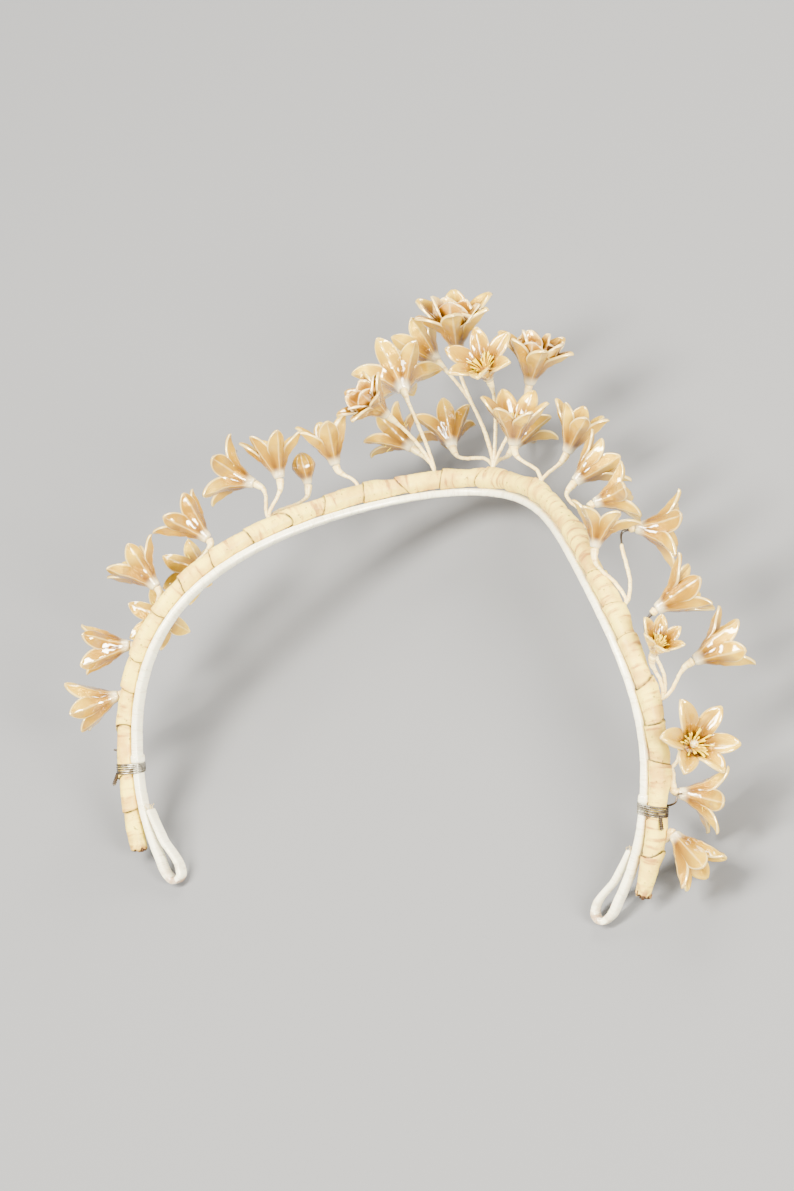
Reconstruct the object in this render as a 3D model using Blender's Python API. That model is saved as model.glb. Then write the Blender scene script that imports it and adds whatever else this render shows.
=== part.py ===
"""Bridal crown of pearled wax blossoms on a tape-wrapped wire frame.

The crown is modelled upright, in metres: X to the wearer's right, Y forwards and Z up, with
the origin at the frame's widest level. It is then laid on its front as it rests on a table,
on its two band loops and the foremost blossom, with the origin under the middle of its box.

A place along the frame is given by its clock: degrees from the crest, right side positive.
"""
import math
from typing import NamedTuple

import bmesh
import bpy
from mathutils import Matrix, Vector

# Frame, in metres
HALF_WIDTH = 0.094          # middle of the wrapped frame from the middle plane, at its widest
RISE = 0.080                # crest above the widest level
FORWARD = 0.060             # crest ahead of the legs
FRAME_LEG = 0.036           # cut ends of the wrapped frame below the widest level
FRAME_TUCK = 0.005          # how far those ends curl inwards
FRAME_DIAMETER = 0.0056
PIECE_GAP = 0.0003          # running gap between touching pieces

# Head band inside the wrapped frame, with a hair pin loop at each end
BAND_WIDTH = 0.0042
BAND_THICKNESS = 0.0024
BAND_EDGE = 0.0008          # chamfer along the band's edges
BAND_LEG = 0.049            # bottom of the loops below the widest level
BAND_TUCK = 0.0045          # extra inward curl of the band below its binding
LOOP_WIDTH = 0.0052         # between the middles of the loop's two sides, at its foot
LOOP_RETURN = 0.021         # length of the side that turns back up
LOOP_TIP = 0.6              # thickness of that side at its tip, as a share of the band's
LOOP_TURN = (45, 90, 135, 180)      # degrees of the turn at which the loop has a point
LOOP_RISE = (0.5, 1.0)      # shares of the returning side at which it has a point

# Wire binding that holds the band to the frame on each side
BINDING_DROP = 0.011        # below the widest level
BINDING_WIRE = 0.0005
BINDING_TURNS = 4
BINDING_PITCH = 0.0009
BINDING_TAIL = 0.007        # free end of the wire
BINDING_CORNER = 45         # degrees between two corners of the wire round the frame
BINDING_SLACK = 1.08        # width of a turn beside the band, as a share of the tightest width

# Stems, and the foot that gathers the stems of a spray on the frame
STEM_DIAMETER = 0.0012
FOOT_DIAMETER = 0.0024
FOOT_LENGTH = 0.010
FOOT_LIFT = 0.04            # extra distance of the foot's tips from the frame, as a share
STEM_HANDLE = 0.4           # length of a stem's end handles, as a share of its span
STEM_AIM = 2.0              # weight of a stem's aim against its foot's outward direction

# Blossom of full size, measured from the flat base of its calyx
CALYX_RADIUS = 0.0016
NECK_RADIUS = 0.0022
NECK_HEIGHT = 0.0020
THROAT_RADIUS = 0.0042
THROAT_HEIGHT = 0.0052
THROAT_FLOOR = 0.0032       # height of the floor round the stamens
NOTCH_DEPTH = 0.94          # radius between two petals at the throat, as a share of the throat's
BOSS_RADIUS = 0.0014        # bundle of stamens
BOSS_HEIGHT = 0.0086
PETAL_LENGTH = 0.0108
PETAL_WIDTH = 0.0064
PETAL_THICKNESS = 0.0014
PETAL_CUP = 0.0015          # how far a petal's edges stand above the back of its midrib
PETAL_START = 20.0          # degrees between the axis and a petal where it leaves the throat
PETAL_COUNT = 6
PETAL_CROWD = 28.0          # half of the widest angle that one petal may fill, in degrees
WHORL_RADIUS = 0.0056       # tips of the inner whorl of a double blossom
WHORL_HEIGHT = 0.0148
WHORL_DIP = 0.66            # radius between two tips of the whorl, as a share of their radius
REACH = 0.040               # unit of a blossom's stand and ahead in the table below

FRAME_SIDES = 10
FRAME_STEP = 4.8            # degrees of clock between two rings of the frame
BAND_STEP = 5.5
BAND_LEG_POINTS = 6
STEM_SIDES = 5
STEM_POINTS = 6
FOOT_SIDES = 8
WIRE_SIDES = 4
CLOCK_STEP = 0.25           # degrees of clock to either side for the frame's direction

# Search for the lean at rest, in degrees
LEAN_LEAST = 5.0
LEAN_MOST = 75.0
LEAN_HALVINGS = 60


class Petal(NamedTuple):
    """Cross-row of a petal: place along it and width, as shares of its length and width."""

    along: float
    width: float


PETAL_ROWS = (
    Petal(0.40, 1.00),
    Petal(0.75, 0.72),
)


class FootRow(NamedTuple):
    """Cross-row of a foot: place from its middle and width, as shares of half its length and
    of its diameter."""

    along: float
    width: float


FOOT_ROWS = (
    FootRow(-1.0, 0.55),
    FootRow(-0.7, 1.0),
    FootRow(0.0, 1.0),
    FootRow(0.7, 1.0),
    FootRow(1.0, 0.55),
)


class TailPoint(NamedTuple):
    """Point of a binding's free end, from the end of its coil, as shares of BINDING_TAIL."""

    out: float
    ahead: float
    down: float


UPPER_TAIL = (TailPoint(0.5, 0.0, -0.2), TailPoint(1.0, 0.0, -0.9))
LOWER_TAIL = (TailPoint(0.6, -0.3, 0.0),)


class Kind(NamedTuple):
    """Form of a blossom: how far its petals open from the axis, and an inner whorl or none."""

    spread: float
    whorl: bool


KINDS = {
    "star": Kind(88.0, False),
    "cup": Kind(60.0, False),
    "double": Kind(76.0, True),
    "bud": Kind(-35.0, False),
}


class Spray(NamedTuple):
    """Gathering point of stems: its clock, and degrees round the frame from outwards to ahead."""

    clock: float
    around: float


SPRAYS = {
    "right_low": Spray(104, 40),
    "right_mid": Spray(89, 30),
    "right_high": Spray(75, 40),
    "right_upper": Spray(54, 40),
    "right_crest": Spray(33, 40),
    "crest_right": Spray(15, 20),
    "crest_middle": Spray(2, 20),
    "crest_left": Spray(-9, 40),
    "left_crest": Spray(-21, 20),
    "left_upper": Spray(-35, 40),
    "left_high": Spray(-50, 40),
    "left_mid": Spray(-64, 40),
    "left_low": Spray(-77, 75),
}


class Blossom(NamedTuple):
    """One blossom of the crown.

    clock is where its base lies along the frame, in degrees. stand and ahead are how far that
    base lies off the frame, outwards and forwards, as shares of REACH. turn and back say where
    it faces: degrees clockwise from straight outwards, then degrees tipped to the back. size
    is a share of a full blossom, and phase turns its petals about its own axis, in degrees.
    """

    spray: str
    kind: str
    clock: float
    stand: float
    ahead: float
    turn: float
    back: float
    size: float
    phase: float


BLOSSOMS = (
    Blossom("right_low", "cup", 102, 0.14, 0.02, 38, 0, 1.00, 0),
    Blossom("right_mid", "star", 94, 0.11, 0.10, 10, -35, 0.95, 20),
    Blossom("right_mid", "star", 85, 0.18, 0.07, -15, 35, 1.00, 10),
    Blossom("right_high", "cup", 70, 0.38, 0.12, -10, -30, 1.00, 0),
    Blossom("right_high", "cup", 57, 0.21, 0.20, -5, -25, 1.00, 30),
    Blossom("right_high", "cup", 67, 0.18, -0.07, -25, 25, 0.70, 15),
    Blossom("right_upper", "star", 43, 0.42, 0.10, 35, -50, 1.00, 0),
    Blossom("right_upper", "star", 44, 0.16, -0.12, -35, 5, 0.85, 25),
    Blossom("right_crest", "cup", 22, 0.21, 0.12, -5, -35, 0.95, 10),
    Blossom("right_crest", "star", 30, 0.22, 0.12, 10, -45, 0.90, 30),
    Blossom("crest_right", "cup", 14, 0.32, 0.23, 2, -12, 0.95, 0),
    Blossom("crest_right", "cup", 9, 0.30, -0.08, 6, 10, 1.00, 25),
    Blossom("crest_middle", "double", 5, 0.75, 0.22, 14, 5, 1.05, 10),
    Blossom("crest_middle", "star", 2, 0.78, -0.06, 15, 48, 0.95, 0),
    Blossom("crest_middle", "double", -5, 1.00, 0.22, 6, 22, 1.15, 0),
    Blossom("crest_middle", "cup", -8, 0.94, 0.50, -41, -25, 0.95, 20),
    Blossom("crest_middle", "star", -7, 0.25, 0.38, -17, -40, 0.90, 10),
    Blossom("crest_middle", "star", 1, 0.22, 0.38, 5, -40, 0.90, 40),
    Blossom("crest_left", "star", -12, 0.74, 0.04, -8, -55, 1.05, 0),
    Blossom("crest_left", "double", -15, 0.55, -0.15, -44, 26, 0.90, 15),
    Blossom("crest_left", "star", -12, 0.29, 0.27, -43, -28, 0.90, 0),
    Blossom("left_crest", "cup", -23, 0.30, 0.10, -2, 14, 0.95, 10),
    Blossom("left_upper", "bud", -27, 0.25, 0.23, 5, 10, 0.75, 0),
    Blossom("left_upper", "cup", -31, 0.34, 0.05, 8, 8, 0.95, 20),
    Blossom("left_upper", "star", -34, 0.43, 0.22, -42, -15, 0.95, 0),
    Blossom("left_high", "cup", -45, 0.18, 0.05, -13, 8, 0.95, 30),
    Blossom("left_high", "star", -49, 0.07, 0.30, -30, -45, 0.90, 0),
    Blossom("left_mid", "cup", -58, 0.18, 0.05, 4, 10, 0.95, 15),
    Blossom("left_mid", "star", -63, 0.07, 0.30, -30, -45, 0.90, 0),
    Blossom("left_low", "cup", -71, 0.12, 0.03, -30, 20, 0.95, 0),
    Blossom("left_low", "cup", -82, 0.11, 0.03, -30, 20, 0.95, 20),
)

FRAME_RADIUS = FRAME_DIAMETER / 2
STEM_RADIUS = STEM_DIAMETER / 2
FOOT_RADIUS = FOOT_DIAMETER / 2
WIRE_RADIUS = BINDING_WIRE / 2
BAND_OFFSET = FRAME_RADIUS + PIECE_GAP + BAND_THICKNESS / 2
DEGREES_PER_METRE = math.degrees(1 / RISE)


def clear_scene():
    """Remove what the opened file holds."""
    for thing in list(bpy.data.objects):
        bpy.data.objects.remove(thing)


def material(name, colour, roughness, metallic=0.0, coat=0.0):
    """Return a Principled material."""
    made = bpy.data.materials.new(name)
    made.use_nodes = True
    shader = made.node_tree.nodes["Principled BSDF"]
    shader.inputs["Base Color"].default_value = (*colour, 1.0)
    shader.inputs["Roughness"].default_value = roughness
    shader.inputs["Metallic"].default_value = metallic
    shader.inputs["Coat Weight"].default_value = coat
    return made


def add_object(name, mesh, finish, parent):
    """Put a mesh in the scene under the crown's empty."""
    if not mesh.materials:
        mesh.materials.append(finish)
    thing = bpy.data.objects.new(name, mesh)
    bpy.context.scene.collection.objects.link(thing)
    thing.parent = parent
    return thing


def finish_mesh(name, shape, sharp=40.0):
    """Turn a bmesh into a smooth-shaded mesh that keeps its sharp edges."""
    mesh = bpy.data.meshes.new(name)
    bmesh.ops.recalc_face_normals(shape, faces=shape.faces)
    shape.to_mesh(mesh)
    shape.free()
    mesh.shade_smooth()
    mesh.set_sharp_from_angle(angle=math.radians(sharp))
    return mesh


def arch_point(clock):
    """Return the middle of the wrapped frame at a clock: an ellipse, then straight legs."""
    side = 1 if clock >= 0 else -1
    angle = math.radians(abs(clock))
    if angle <= math.pi / 2:
        right = HALF_WIDTH * math.sin(angle)
        up = RISE * math.cos(angle)
        forward = FORWARD * (1 + math.cos(math.pi * right / HALF_WIDTH)) / 2
    else:
        drop = RISE * (angle - math.pi / 2)
        right = HALF_WIDTH - FRAME_TUCK * (drop / FRAME_LEG) ** 2
        up = -drop
        forward = 0.0
    return Vector((side * right, forward, up))


def arch_axes(clock):
    """Return unit vectors at a clock: along the frame, outwards from the head, and ahead."""
    along = (arch_point(clock + CLOCK_STEP) - arch_point(clock - CLOCK_STEP)).normalized()
    level = math.radians(max(-90.0, min(90.0, clock)))
    radial = Vector((math.sin(level), 0.0, math.cos(level)))
    out = (radial - along * radial.dot(along)).normalized()
    return along, out, out.cross(along)


def off_frame(clock, stand, ahead):
    """Return the point that stands off the frame by two lengths, outwards and ahead."""
    along, out, forward = arch_axes(clock)
    return arch_point(clock) + out * stand + forward * ahead


def leg_clock(drop):
    """Return the clock of the frame at a drop below the widest level."""
    return 90.0 + drop * DEGREES_PER_METRE


def spread_values(start, end, count):
    """Return evenly spaced values from start to end, both included."""
    return [start + (end - start) * index / (count - 1) for index in range(count)]


def round_section(radius, sides):
    """Return the corners of a round section."""
    turn = 2 * math.pi / sides
    return [(radius * math.cos(turn * i), radius * math.sin(turn * i)) for i in range(sides)]


def band_section():
    """Return the corners of the band: width, then thickness, with chamfered edges."""
    wide = BAND_WIDTH / 2
    thin = BAND_THICKNESS / 2
    edge = BAND_EDGE
    return [
        (wide, -thin + edge), (wide, thin - edge), (wide - edge, thin), (-wide + edge, thin),
        (-wide, thin - edge), (-wide, -thin + edge), (-wide + edge, -thin), (wide - edge, -thin),
    ]


def sweep(shape, path, hints, section, scales=None):
    """Skin a section along a path, with flat ends.

    hints give the direction of the section's first axis at each point, and scales its size.
    A scale is one share, or two for the section's two axes.
    """
    rings = []
    last = len(path) - 1
    for index, centre in enumerate(path):
        along = (path[min(index + 1, last)] - path[max(index - 1, 0)]).normalized()
        hint = hints[index] if isinstance(hints, list) else hints
        wide = (hint - along * hint.dot(along)).normalized()
        thin = along.cross(wide)
        size = scales[index] if scales else 1.0
        size_wide, size_thin = size if isinstance(size, tuple) else (size, size)
        rings.append([
            shape.verts.new(centre + wide * a * size_wide + thin * b * size_thin)
            for a, b in section
        ])
    sides = len(section)
    for ring, following in zip(rings, rings[1:]):
        for i in range(sides):
            j = (i + 1) % sides
            shape.faces.new((ring[i], ring[j], following[j], following[i]))
    shape.faces.new(list(reversed(rings[0])))
    shape.faces.new(rings[-1])


def swept_mesh(name, path, hints, section, scales=None, sharp=40.0):
    """Return a mesh swept along a path."""
    shape = bmesh.new()
    sweep(shape, path, hints, section, scales)
    return finish_mesh(name, shape, sharp)


def frame_mesh():
    """Return the tape-wrapped bundle of wires, from one cut end to the other."""
    end = leg_clock(FRAME_LEG)
    count = 2 * round(end / FRAME_STEP) + 1
    clocks = spread_values(-end, end, count)
    path = [arch_point(clock) for clock in clocks]
    hints = [arch_axes(clock)[1] for clock in clocks]
    return swept_mesh("wrapped_frame", path, hints, round_section(FRAME_RADIUS, FRAME_SIDES))


def band_leg_point(side, drop):
    """Return the middle of the band on a leg, curling inwards below the binding."""
    clock = side * leg_clock(drop)
    curl = max(0.0, (drop - BINDING_DROP) / (BAND_LEG - BINDING_DROP))
    return off_frame(clock, -BAND_OFFSET - BAND_TUCK * curl ** 2, 0.0)


def thinned(share):
    """Return the scales of the band's width and thickness at a share of its thinning end."""
    return 1.0, 1.0 + (LOOP_TIP - 1.0) * share


def loop_points(side):
    """Return the turn and the rising side of a loop, with their scales, from its foot up."""
    turn_radius = LOOP_WIDTH / 2
    foot_drop = BAND_LEG - turn_radius
    foot = band_leg_point(side, foot_drop)
    down = (foot - band_leg_point(side, foot_drop - turn_radius)).normalized()
    ahead = Vector((0.0, 1.0, 0.0))
    inward = ahead.cross(down) * side
    centre = foot + inward * turn_radius
    points = []
    scales = []
    for angle in LOOP_TURN:
        swing = math.radians(angle)
        points.append(centre - inward * turn_radius * math.cos(swing)
                      + down * turn_radius * math.sin(swing))
        scales.append(thinned(angle / 360))
    close = BAND_THICKNESS * (1 + LOOP_TIP) / 2 + PIECE_GAP
    for share in LOOP_RISE:
        drop = foot_drop - LOOP_RETURN * share
        width = LOOP_WIDTH + (close - LOOP_WIDTH) * share
        points.append(band_leg_point(side, drop) + inward * width)
        scales.append(thinned((1 + share) / 2))
    return points, scales


def band_mesh():
    """Return the head band: flat inside the wrapped frame, with a narrow loop at each end."""
    bound = leg_clock(BINDING_DROP)
    pairs = round(bound / BAND_STEP)
    clocks = spread_values(-bound, bound, 2 * pairs)
    path = [off_frame(clock, -BAND_OFFSET, 0.0) for clock in clocks]
    hints = [arch_axes(clock)[2] for clock in clocks]
    scales = [(1.0, 1.0)] * len(path)
    ahead = Vector((0.0, 1.0, 0.0))
    foot_drop = BAND_LEG - LOOP_WIDTH / 2
    drops = spread_values(BINDING_DROP, foot_drop, BAND_LEG_POINTS)[1:]
    for side in (1, -1):
        leg = [band_leg_point(side, drop) for drop in drops]
        points, sizes = loop_points(side)
        tail = leg + points
        tail_scales = [(1.0, 1.0)] * len(leg) + sizes
        if side < 0:
            path = tail[::-1] + path
            scales = tail_scales[::-1] + scales
            hints = [ahead] * len(tail) + hints
        else:
            path = path + tail
            scales = scales + tail_scales
            hints = hints + [ahead] * len(tail)
    return swept_mesh("head_band", path, hints, band_section(), scales, sharp=50.0)


def binding_outline():
    """Return one turn of the binding round frame and band, as outward and ahead lengths."""
    clear = WIRE_RADIUS + PIECE_GAP
    round_frame = (FRAME_RADIUS + clear) / math.cos(math.radians(BINDING_CORNER / 2))
    outline = [
        (round_frame * math.cos(math.radians(angle)), round_frame * math.sin(math.radians(angle)))
        for angle in range(-90, 91, BINDING_CORNER)
    ]
    inner = BAND_OFFSET + BAND_THICKNESS / 2 + clear
    side = BAND_WIDTH / 2 + clear
    far = [
        (-BAND_OFFSET + BAND_THICKNESS / 2, side * BINDING_SLACK), (-inner + clear, side),
        (-inner, BAND_WIDTH / 2 - BAND_EDGE),
    ]
    return outline + far + [(a, -b) for a, b in reversed(far)]


def binding_mesh(name, side):
    """Return the wire binding of one side: a few turns and two free ends."""
    clock = side * leg_clock(BINDING_DROP)
    along, out, ahead = arch_axes(clock)
    down = along * side
    centre = arch_point(clock)
    outline = binding_outline()
    total = BINDING_TURNS * len(outline)
    start = -BINDING_PITCH * BINDING_TURNS / 2
    path = []
    for index in range(total + 1):
        reach, forward = outline[index % len(outline)]
        level = start + BINDING_PITCH * index / len(outline)
        path.append(centre + out * reach + ahead * forward + down * level)

    def tail(origin, points):
        return [
            origin + (out * p.out + ahead * p.ahead + down * p.down) * BINDING_TAIL
            for p in points
        ]

    path = tail(path[0], UPPER_TAIL)[::-1] + path + tail(path[-1], LOWER_TAIL)
    return swept_mesh(name, path, down, round_section(WIRE_RADIUS, WIRE_SIDES))


def petal_midrib(share, spread):
    """Return the back of a petal's midrib at a share of its length: radius, height, angle."""
    start = math.radians(PETAL_START)
    bend = math.radians(spread) - start
    now = start + bend * share
    radius = THROAT_RADIUS + PETAL_LENGTH * (math.cos(start) - math.cos(now)) / bend
    height = THROAT_HEIGHT + PETAL_LENGTH * (math.sin(now) - math.sin(start)) / bend
    return radius, height, now


def ring_vertex(shape, radius, height, angle):
    """Add a vertex at a radius and an angle in degrees round the blossom's axis."""
    turn = math.radians(angle)
    return shape.verts.new((radius * math.cos(turn), radius * math.sin(turn), height))


def blossom_ring(shape, radius, height, offset=0.0):
    """Add one vertex for each petal on a ring round the axis."""
    step = 360.0 / PETAL_COUNT
    return [ring_vertex(shape, radius, height, step * i + offset) for i in range(PETAL_COUNT)]


def petal_rows(shape, angle, spread):
    """Add the vertices of one petal: its cross-rows as (left, back, front, right), and its tip."""
    turn = math.radians(angle)
    radial = Vector((math.cos(turn), math.sin(turn), 0.0))
    sideways = Vector((-math.sin(turn), math.cos(turn), 0.0))
    rows = []
    for row in PETAL_ROWS:
        radius, height, lean = petal_midrib(row.along, spread)
        front = radial * -math.cos(lean) + Vector((0.0, 0.0, math.sin(lean)))
        back = radial * radius + Vector((0.0, 0.0, height))
        crowded = radius * math.tan(math.radians(PETAL_CROWD))
        half = min(PETAL_WIDTH / 2 * row.width, crowded)
        edge = back + front * PETAL_CUP
        rows.append((
            shape.verts.new(edge - sideways * half),
            shape.verts.new(back),
            shape.verts.new(back + front * PETAL_THICKNESS),
            shape.verts.new(edge + sideways * half),
        ))
    radius, height, lean = petal_midrib(1.0, spread)
    front = radial * -math.cos(lean) + Vector((0.0, 0.0, math.sin(lean)))
    tip = shape.verts.new(radial * radius + Vector((0.0, 0.0, height)) + front * PETAL_CUP)
    return rows, tip


def close_centre(shape, notches, fronts, whorl):
    """Close the throat: a floor with the stamens' boss, or with an inner whorl of petals."""
    half_step = 180.0 / PETAL_COUNT
    floor = blossom_ring(shape, BOSS_RADIUS, THROAT_FLOOR)
    join_throat(shape, notches, fronts, floor, outward=False)
    if whorl:
        tips = blossom_ring(shape, WHORL_RADIUS, WHORL_HEIGHT, half_step)
        dips = blossom_ring(shape, WHORL_RADIUS * WHORL_DIP, (WHORL_HEIGHT + THROAT_FLOOR) / 2)
        inner = blossom_ring(shape, BOSS_RADIUS, (WHORL_HEIGHT + THROAT_FLOOR) / 2, half_step)
        for i in range(PETAL_COUNT):
            j = (i + 1) % PETAL_COUNT
            shape.faces.new((floor[i], floor[j], tips[i]))
            shape.faces.new((floor[i], tips[i], dips[i]))
            shape.faces.new((floor[j], dips[j], tips[i]))
            shape.faces.new((dips[i], tips[i], inner[i]))
            shape.faces.new((tips[i], dips[j], inner[i]))
            shape.faces.new((dips[j], inner[j], inner[i]))
        floor = inner
    apex = shape.verts.new((0.0, 0.0, BOSS_HEIGHT))
    for i in range(PETAL_COUNT):
        shape.faces.new((floor[i], floor[(i + 1) % PETAL_COUNT], apex))


def join_throat(shape, notches, middles, ring, outward):
    """Join a throat of notches and petal middles to a ring with one vertex for each petal.

    The ring's vertices stand under the petal middles.
    """
    for i in range(PETAL_COUNT):
        j = (i + 1) % PETAL_COUNT
        faces = [
            (ring[i], notches[i], middles[i]),
            (ring[i], ring[j], notches[i]),
            (ring[j], middles[j], notches[i]),
        ]
        for corners in faces:
            shape.faces.new(corners if outward else corners[::-1])


def blossom_mesh(name, kind):
    """Return a full-size blossom: calyx, trumpet and pointed petals, facing along +Z."""
    shape = bmesh.new()
    step = 360.0 / PETAL_COUNT
    base = blossom_ring(shape, CALYX_RADIUS, 0.0)
    neck = blossom_ring(shape, NECK_RADIUS, NECK_HEIGHT)
    notches = blossom_ring(shape, THROAT_RADIUS * NOTCH_DEPTH, THROAT_HEIGHT, step / 2)
    backs = blossom_ring(shape, THROAT_RADIUS, THROAT_HEIGHT)
    fronts = blossom_ring(shape, THROAT_RADIUS - PETAL_THICKNESS, THROAT_HEIGHT)
    shape.faces.new(base[::-1])
    for i in range(PETAL_COUNT):
        j = (i + 1) % PETAL_COUNT
        shape.faces.new((base[i], base[j], neck[j], neck[i]))
    join_throat(shape, notches, backs, neck, outward=True)
    for i in range(PETAL_COUNT):
        rows, tip = petal_rows(shape, step * i, kind.spread)
        left, back, front, right = notches[i - 1], backs[i], fronts[i], notches[i]
        for row_left, row_back, row_front, row_right in rows:
            shape.faces.new((left, back, row_back, row_left))
            shape.faces.new((back, right, row_right, row_back))
            shape.faces.new((front, left, row_left, row_front))
            shape.faces.new((right, front, row_front, row_right))
            left, back, front, right = row_left, row_back, row_front, row_right
        shape.faces.new((left, back, tip))
        shape.faces.new((back, right, tip))
        shape.faces.new((front, left, tip))
        shape.faces.new((right, front, tip))
    close_centre(shape, notches, fronts, kind.whorl)
    return finish_mesh(name, shape, sharp=70.0)


def blossom_pose(blossom):
    """Return the base of a blossom, and its axis, in the upright crown."""
    along, out, ahead = arch_axes(blossom.clock)
    base = off_frame(blossom.clock, REACH * blossom.stand, REACH * blossom.ahead)
    turn = math.radians(blossom.turn)
    back = math.radians(blossom.back)
    level = out * math.cos(turn) + along * math.sin(turn)
    return base, level * math.cos(back) - ahead * math.sin(back)


def facing_matrix(base, axis, phase):
    """Return the placement that turns +Z to an axis and carries the origin to a base."""
    side = Vector((0.0, 1.0, 0.0)).cross(axis).normalized()
    turned = Matrix((side, axis.cross(side), axis)).transposed().to_4x4()
    spin = Matrix.Rotation(math.radians(phase), 4, "Z")
    return Matrix.Translation(base) @ turned @ spin


def add_blossoms(finish, parent):
    """Add every blossom and return the objects. Those of one kind and size share a mesh."""
    meshes = {kind: {} for kind in KINDS}
    counts = dict.fromkeys(KINDS, 0)
    made = []
    for blossom in BLOSSOMS:
        sizes = meshes[blossom.kind]
        if blossom.size not in sizes:
            mesh = blossom_mesh(f"{blossom.kind}_blossom", KINDS[blossom.kind])
            mesh.transform(Matrix.Scale(blossom.size, 4))
            sizes[blossom.size] = mesh
        counts[blossom.kind] += 1
        name = f"{blossom.kind}_blossom_{counts[blossom.kind]:02d}"
        thing = add_object(name, sizes[blossom.size], finish, parent)
        base, axis = blossom_pose(blossom)
        placement = facing_matrix(base, axis, blossom.phase)
        thing.location = placement.to_translation()
        thing.rotation_euler = placement.to_euler()
        made.append(thing)
    return made


def curve_points(start, leave, end, arrive, count):
    """Return points on the curve that leaves start and arrives at end along given directions."""
    length = (end - start).length
    first = start + leave * length * STEM_HANDLE
    second = end - arrive * length * STEM_HANDLE
    points = []
    for share in spread_values(0.0, 1.0, count):
        rest = 1 - share
        points.append(start * rest ** 3 + first * 3 * rest ** 2 * share
                      + second * 3 * rest * share ** 2 + end * share ** 3)
    return points


def foot_mesh(spray):
    """Return the taped foot of a spray, lying along the frame."""
    half = FOOT_LENGTH / 2 * DEGREES_PER_METRE
    distance = FRAME_RADIUS + PIECE_GAP + FOOT_RADIUS
    around = math.radians(spray.around)
    path = []
    for row in FOOT_ROWS:
        lift = distance * (1 + FOOT_LIFT * abs(row.along))
        clock = spray.clock + half * row.along
        path.append(off_frame(clock, lift * math.cos(around), lift * math.sin(around)))
    hint = arch_axes(spray.clock)[1]
    section = round_section(FOOT_RADIUS, FOOT_SIDES)
    return swept_mesh("foot", path, hint, section, [row.width for row in FOOT_ROWS])


def stem_mesh(spray, blossom):
    """Return the stem from a spray's foot to the base of one of its blossoms."""
    along, out, ahead = arch_axes(spray.clock)
    around = math.radians(spray.around)
    outward = out * math.cos(around) + ahead * math.sin(around)
    distance = FRAME_RADIUS + PIECE_GAP + FOOT_RADIUS
    start = arch_point(spray.clock) + outward * distance
    base, axis = blossom_pose(blossom)
    end = base - axis * PIECE_GAP
    leave = ((end - start).normalized() * STEM_AIM + outward).normalized()
    path = curve_points(start, leave, end, axis, STEM_POINTS)
    hint = axis.orthogonal()
    return swept_mesh("stem", path, hint, round_section(STEM_RADIUS, STEM_SIDES))


def union(first, second):
    """Return the mesh of two solids joined into one body."""
    base = bpy.data.objects.new("base", first)
    tool = bpy.data.objects.new("tool", second)
    for thing in (base, tool):
        bpy.context.scene.collection.objects.link(thing)
    joiner = base.modifiers.new("join", "BOOLEAN")
    joiner.operation = "UNION"
    joiner.object = tool
    scene_state = bpy.context.evaluated_depsgraph_get()
    joined = bpy.data.meshes.new_from_object(base.evaluated_get(scene_state))
    for thing in (base, tool):
        bpy.data.objects.remove(thing)
    return joined


def add_sprays(finish, parent):
    """Add each spray's foot and stems as one piece, and return the objects."""
    made = []
    for name, spray in SPRAYS.items():
        mesh = foot_mesh(spray)
        for blossom in BLOSSOMS:
            if blossom.spray == name:
                mesh = union(mesh, stem_mesh(spray, blossom))
        mesh.name = f"spray_{name}"
        made.append(add_object(f"spray_{name}", mesh, finish, parent))
    return made


def upright_points(things):
    """Return all vertices of the pieces in the upright crown."""
    points = []
    for thing in things:
        placement = thing.matrix_basis
        points.extend(placement @ vertex.co for vertex in thing.data.vertices)
    return points


def resting_lean(points):
    """Return the lean at which the legs' ends and the front of the crest touch the table.

    A height above the table is up * sin(lean) - forward * cos(lean).
    """
    def lowest(lean, part):
        return min(p.z * math.sin(lean) - p.y * math.cos(lean) for p in part)

    upper = [p for p in points if p.z > 0]
    lower = [p for p in points if p.z <= 0]
    low, high = math.radians(LEAN_LEAST), math.radians(LEAN_MOST)
    for _ in range(LEAN_HALVINGS):
        middle = (low + high) / 2
        if lowest(middle, upper) < lowest(middle, lower):
            low = middle
        else:
            high = middle
    return (low + high) / 2


def lay_down(crown, things):
    """Turn the crown onto its front and put the middle of its box over the origin."""
    points = upright_points(things)
    lean = resting_lean(points)
    turn = Matrix.Rotation(lean - math.pi / 2, 4, "X")
    laid = [turn @ point for point in points]
    lows = [min(point[axis] for point in laid) for axis in range(3)]
    highs = [max(point[axis] for point in laid) for axis in range(3)]
    crown.rotation_euler = turn.to_euler()
    crown.location = (-(lows[0] + highs[0]) / 2, -(lows[1] + highs[1]) / 2, -lows[2])


def build_crown():
    """Build the whole crown and lay it on its front."""
    clear_scene()
    petals = material("pearled_wax", (0.86, 0.66, 0.42), 0.28, coat=0.6)
    paper = material("paper_tape", (0.88, 0.73, 0.50), 0.75)
    satin = material("satin_tape", (0.90, 0.88, 0.84), 0.35)
    stems = material("stem_tape", (0.88, 0.80, 0.64), 0.60)
    wire = material("binding_wire", (0.55, 0.53, 0.50), 0.35, metallic=1.0)
    crown = bpy.data.objects.new("crown", None)
    bpy.context.scene.collection.objects.link(crown)
    things = [
        add_object("head_band", band_mesh(), satin, crown),
        add_object("wrapped_frame", frame_mesh(), paper, crown),
        add_object("binding_right", binding_mesh("binding_right", 1), wire, crown),
        add_object("binding_left", binding_mesh("binding_left", -1), wire, crown),
    ]
    things += add_sprays(stems, crown)
    things += add_blossoms(petals, crown)
    lay_down(crown, things)
    bpy.context.view_layer.update()


build_crown()
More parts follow.
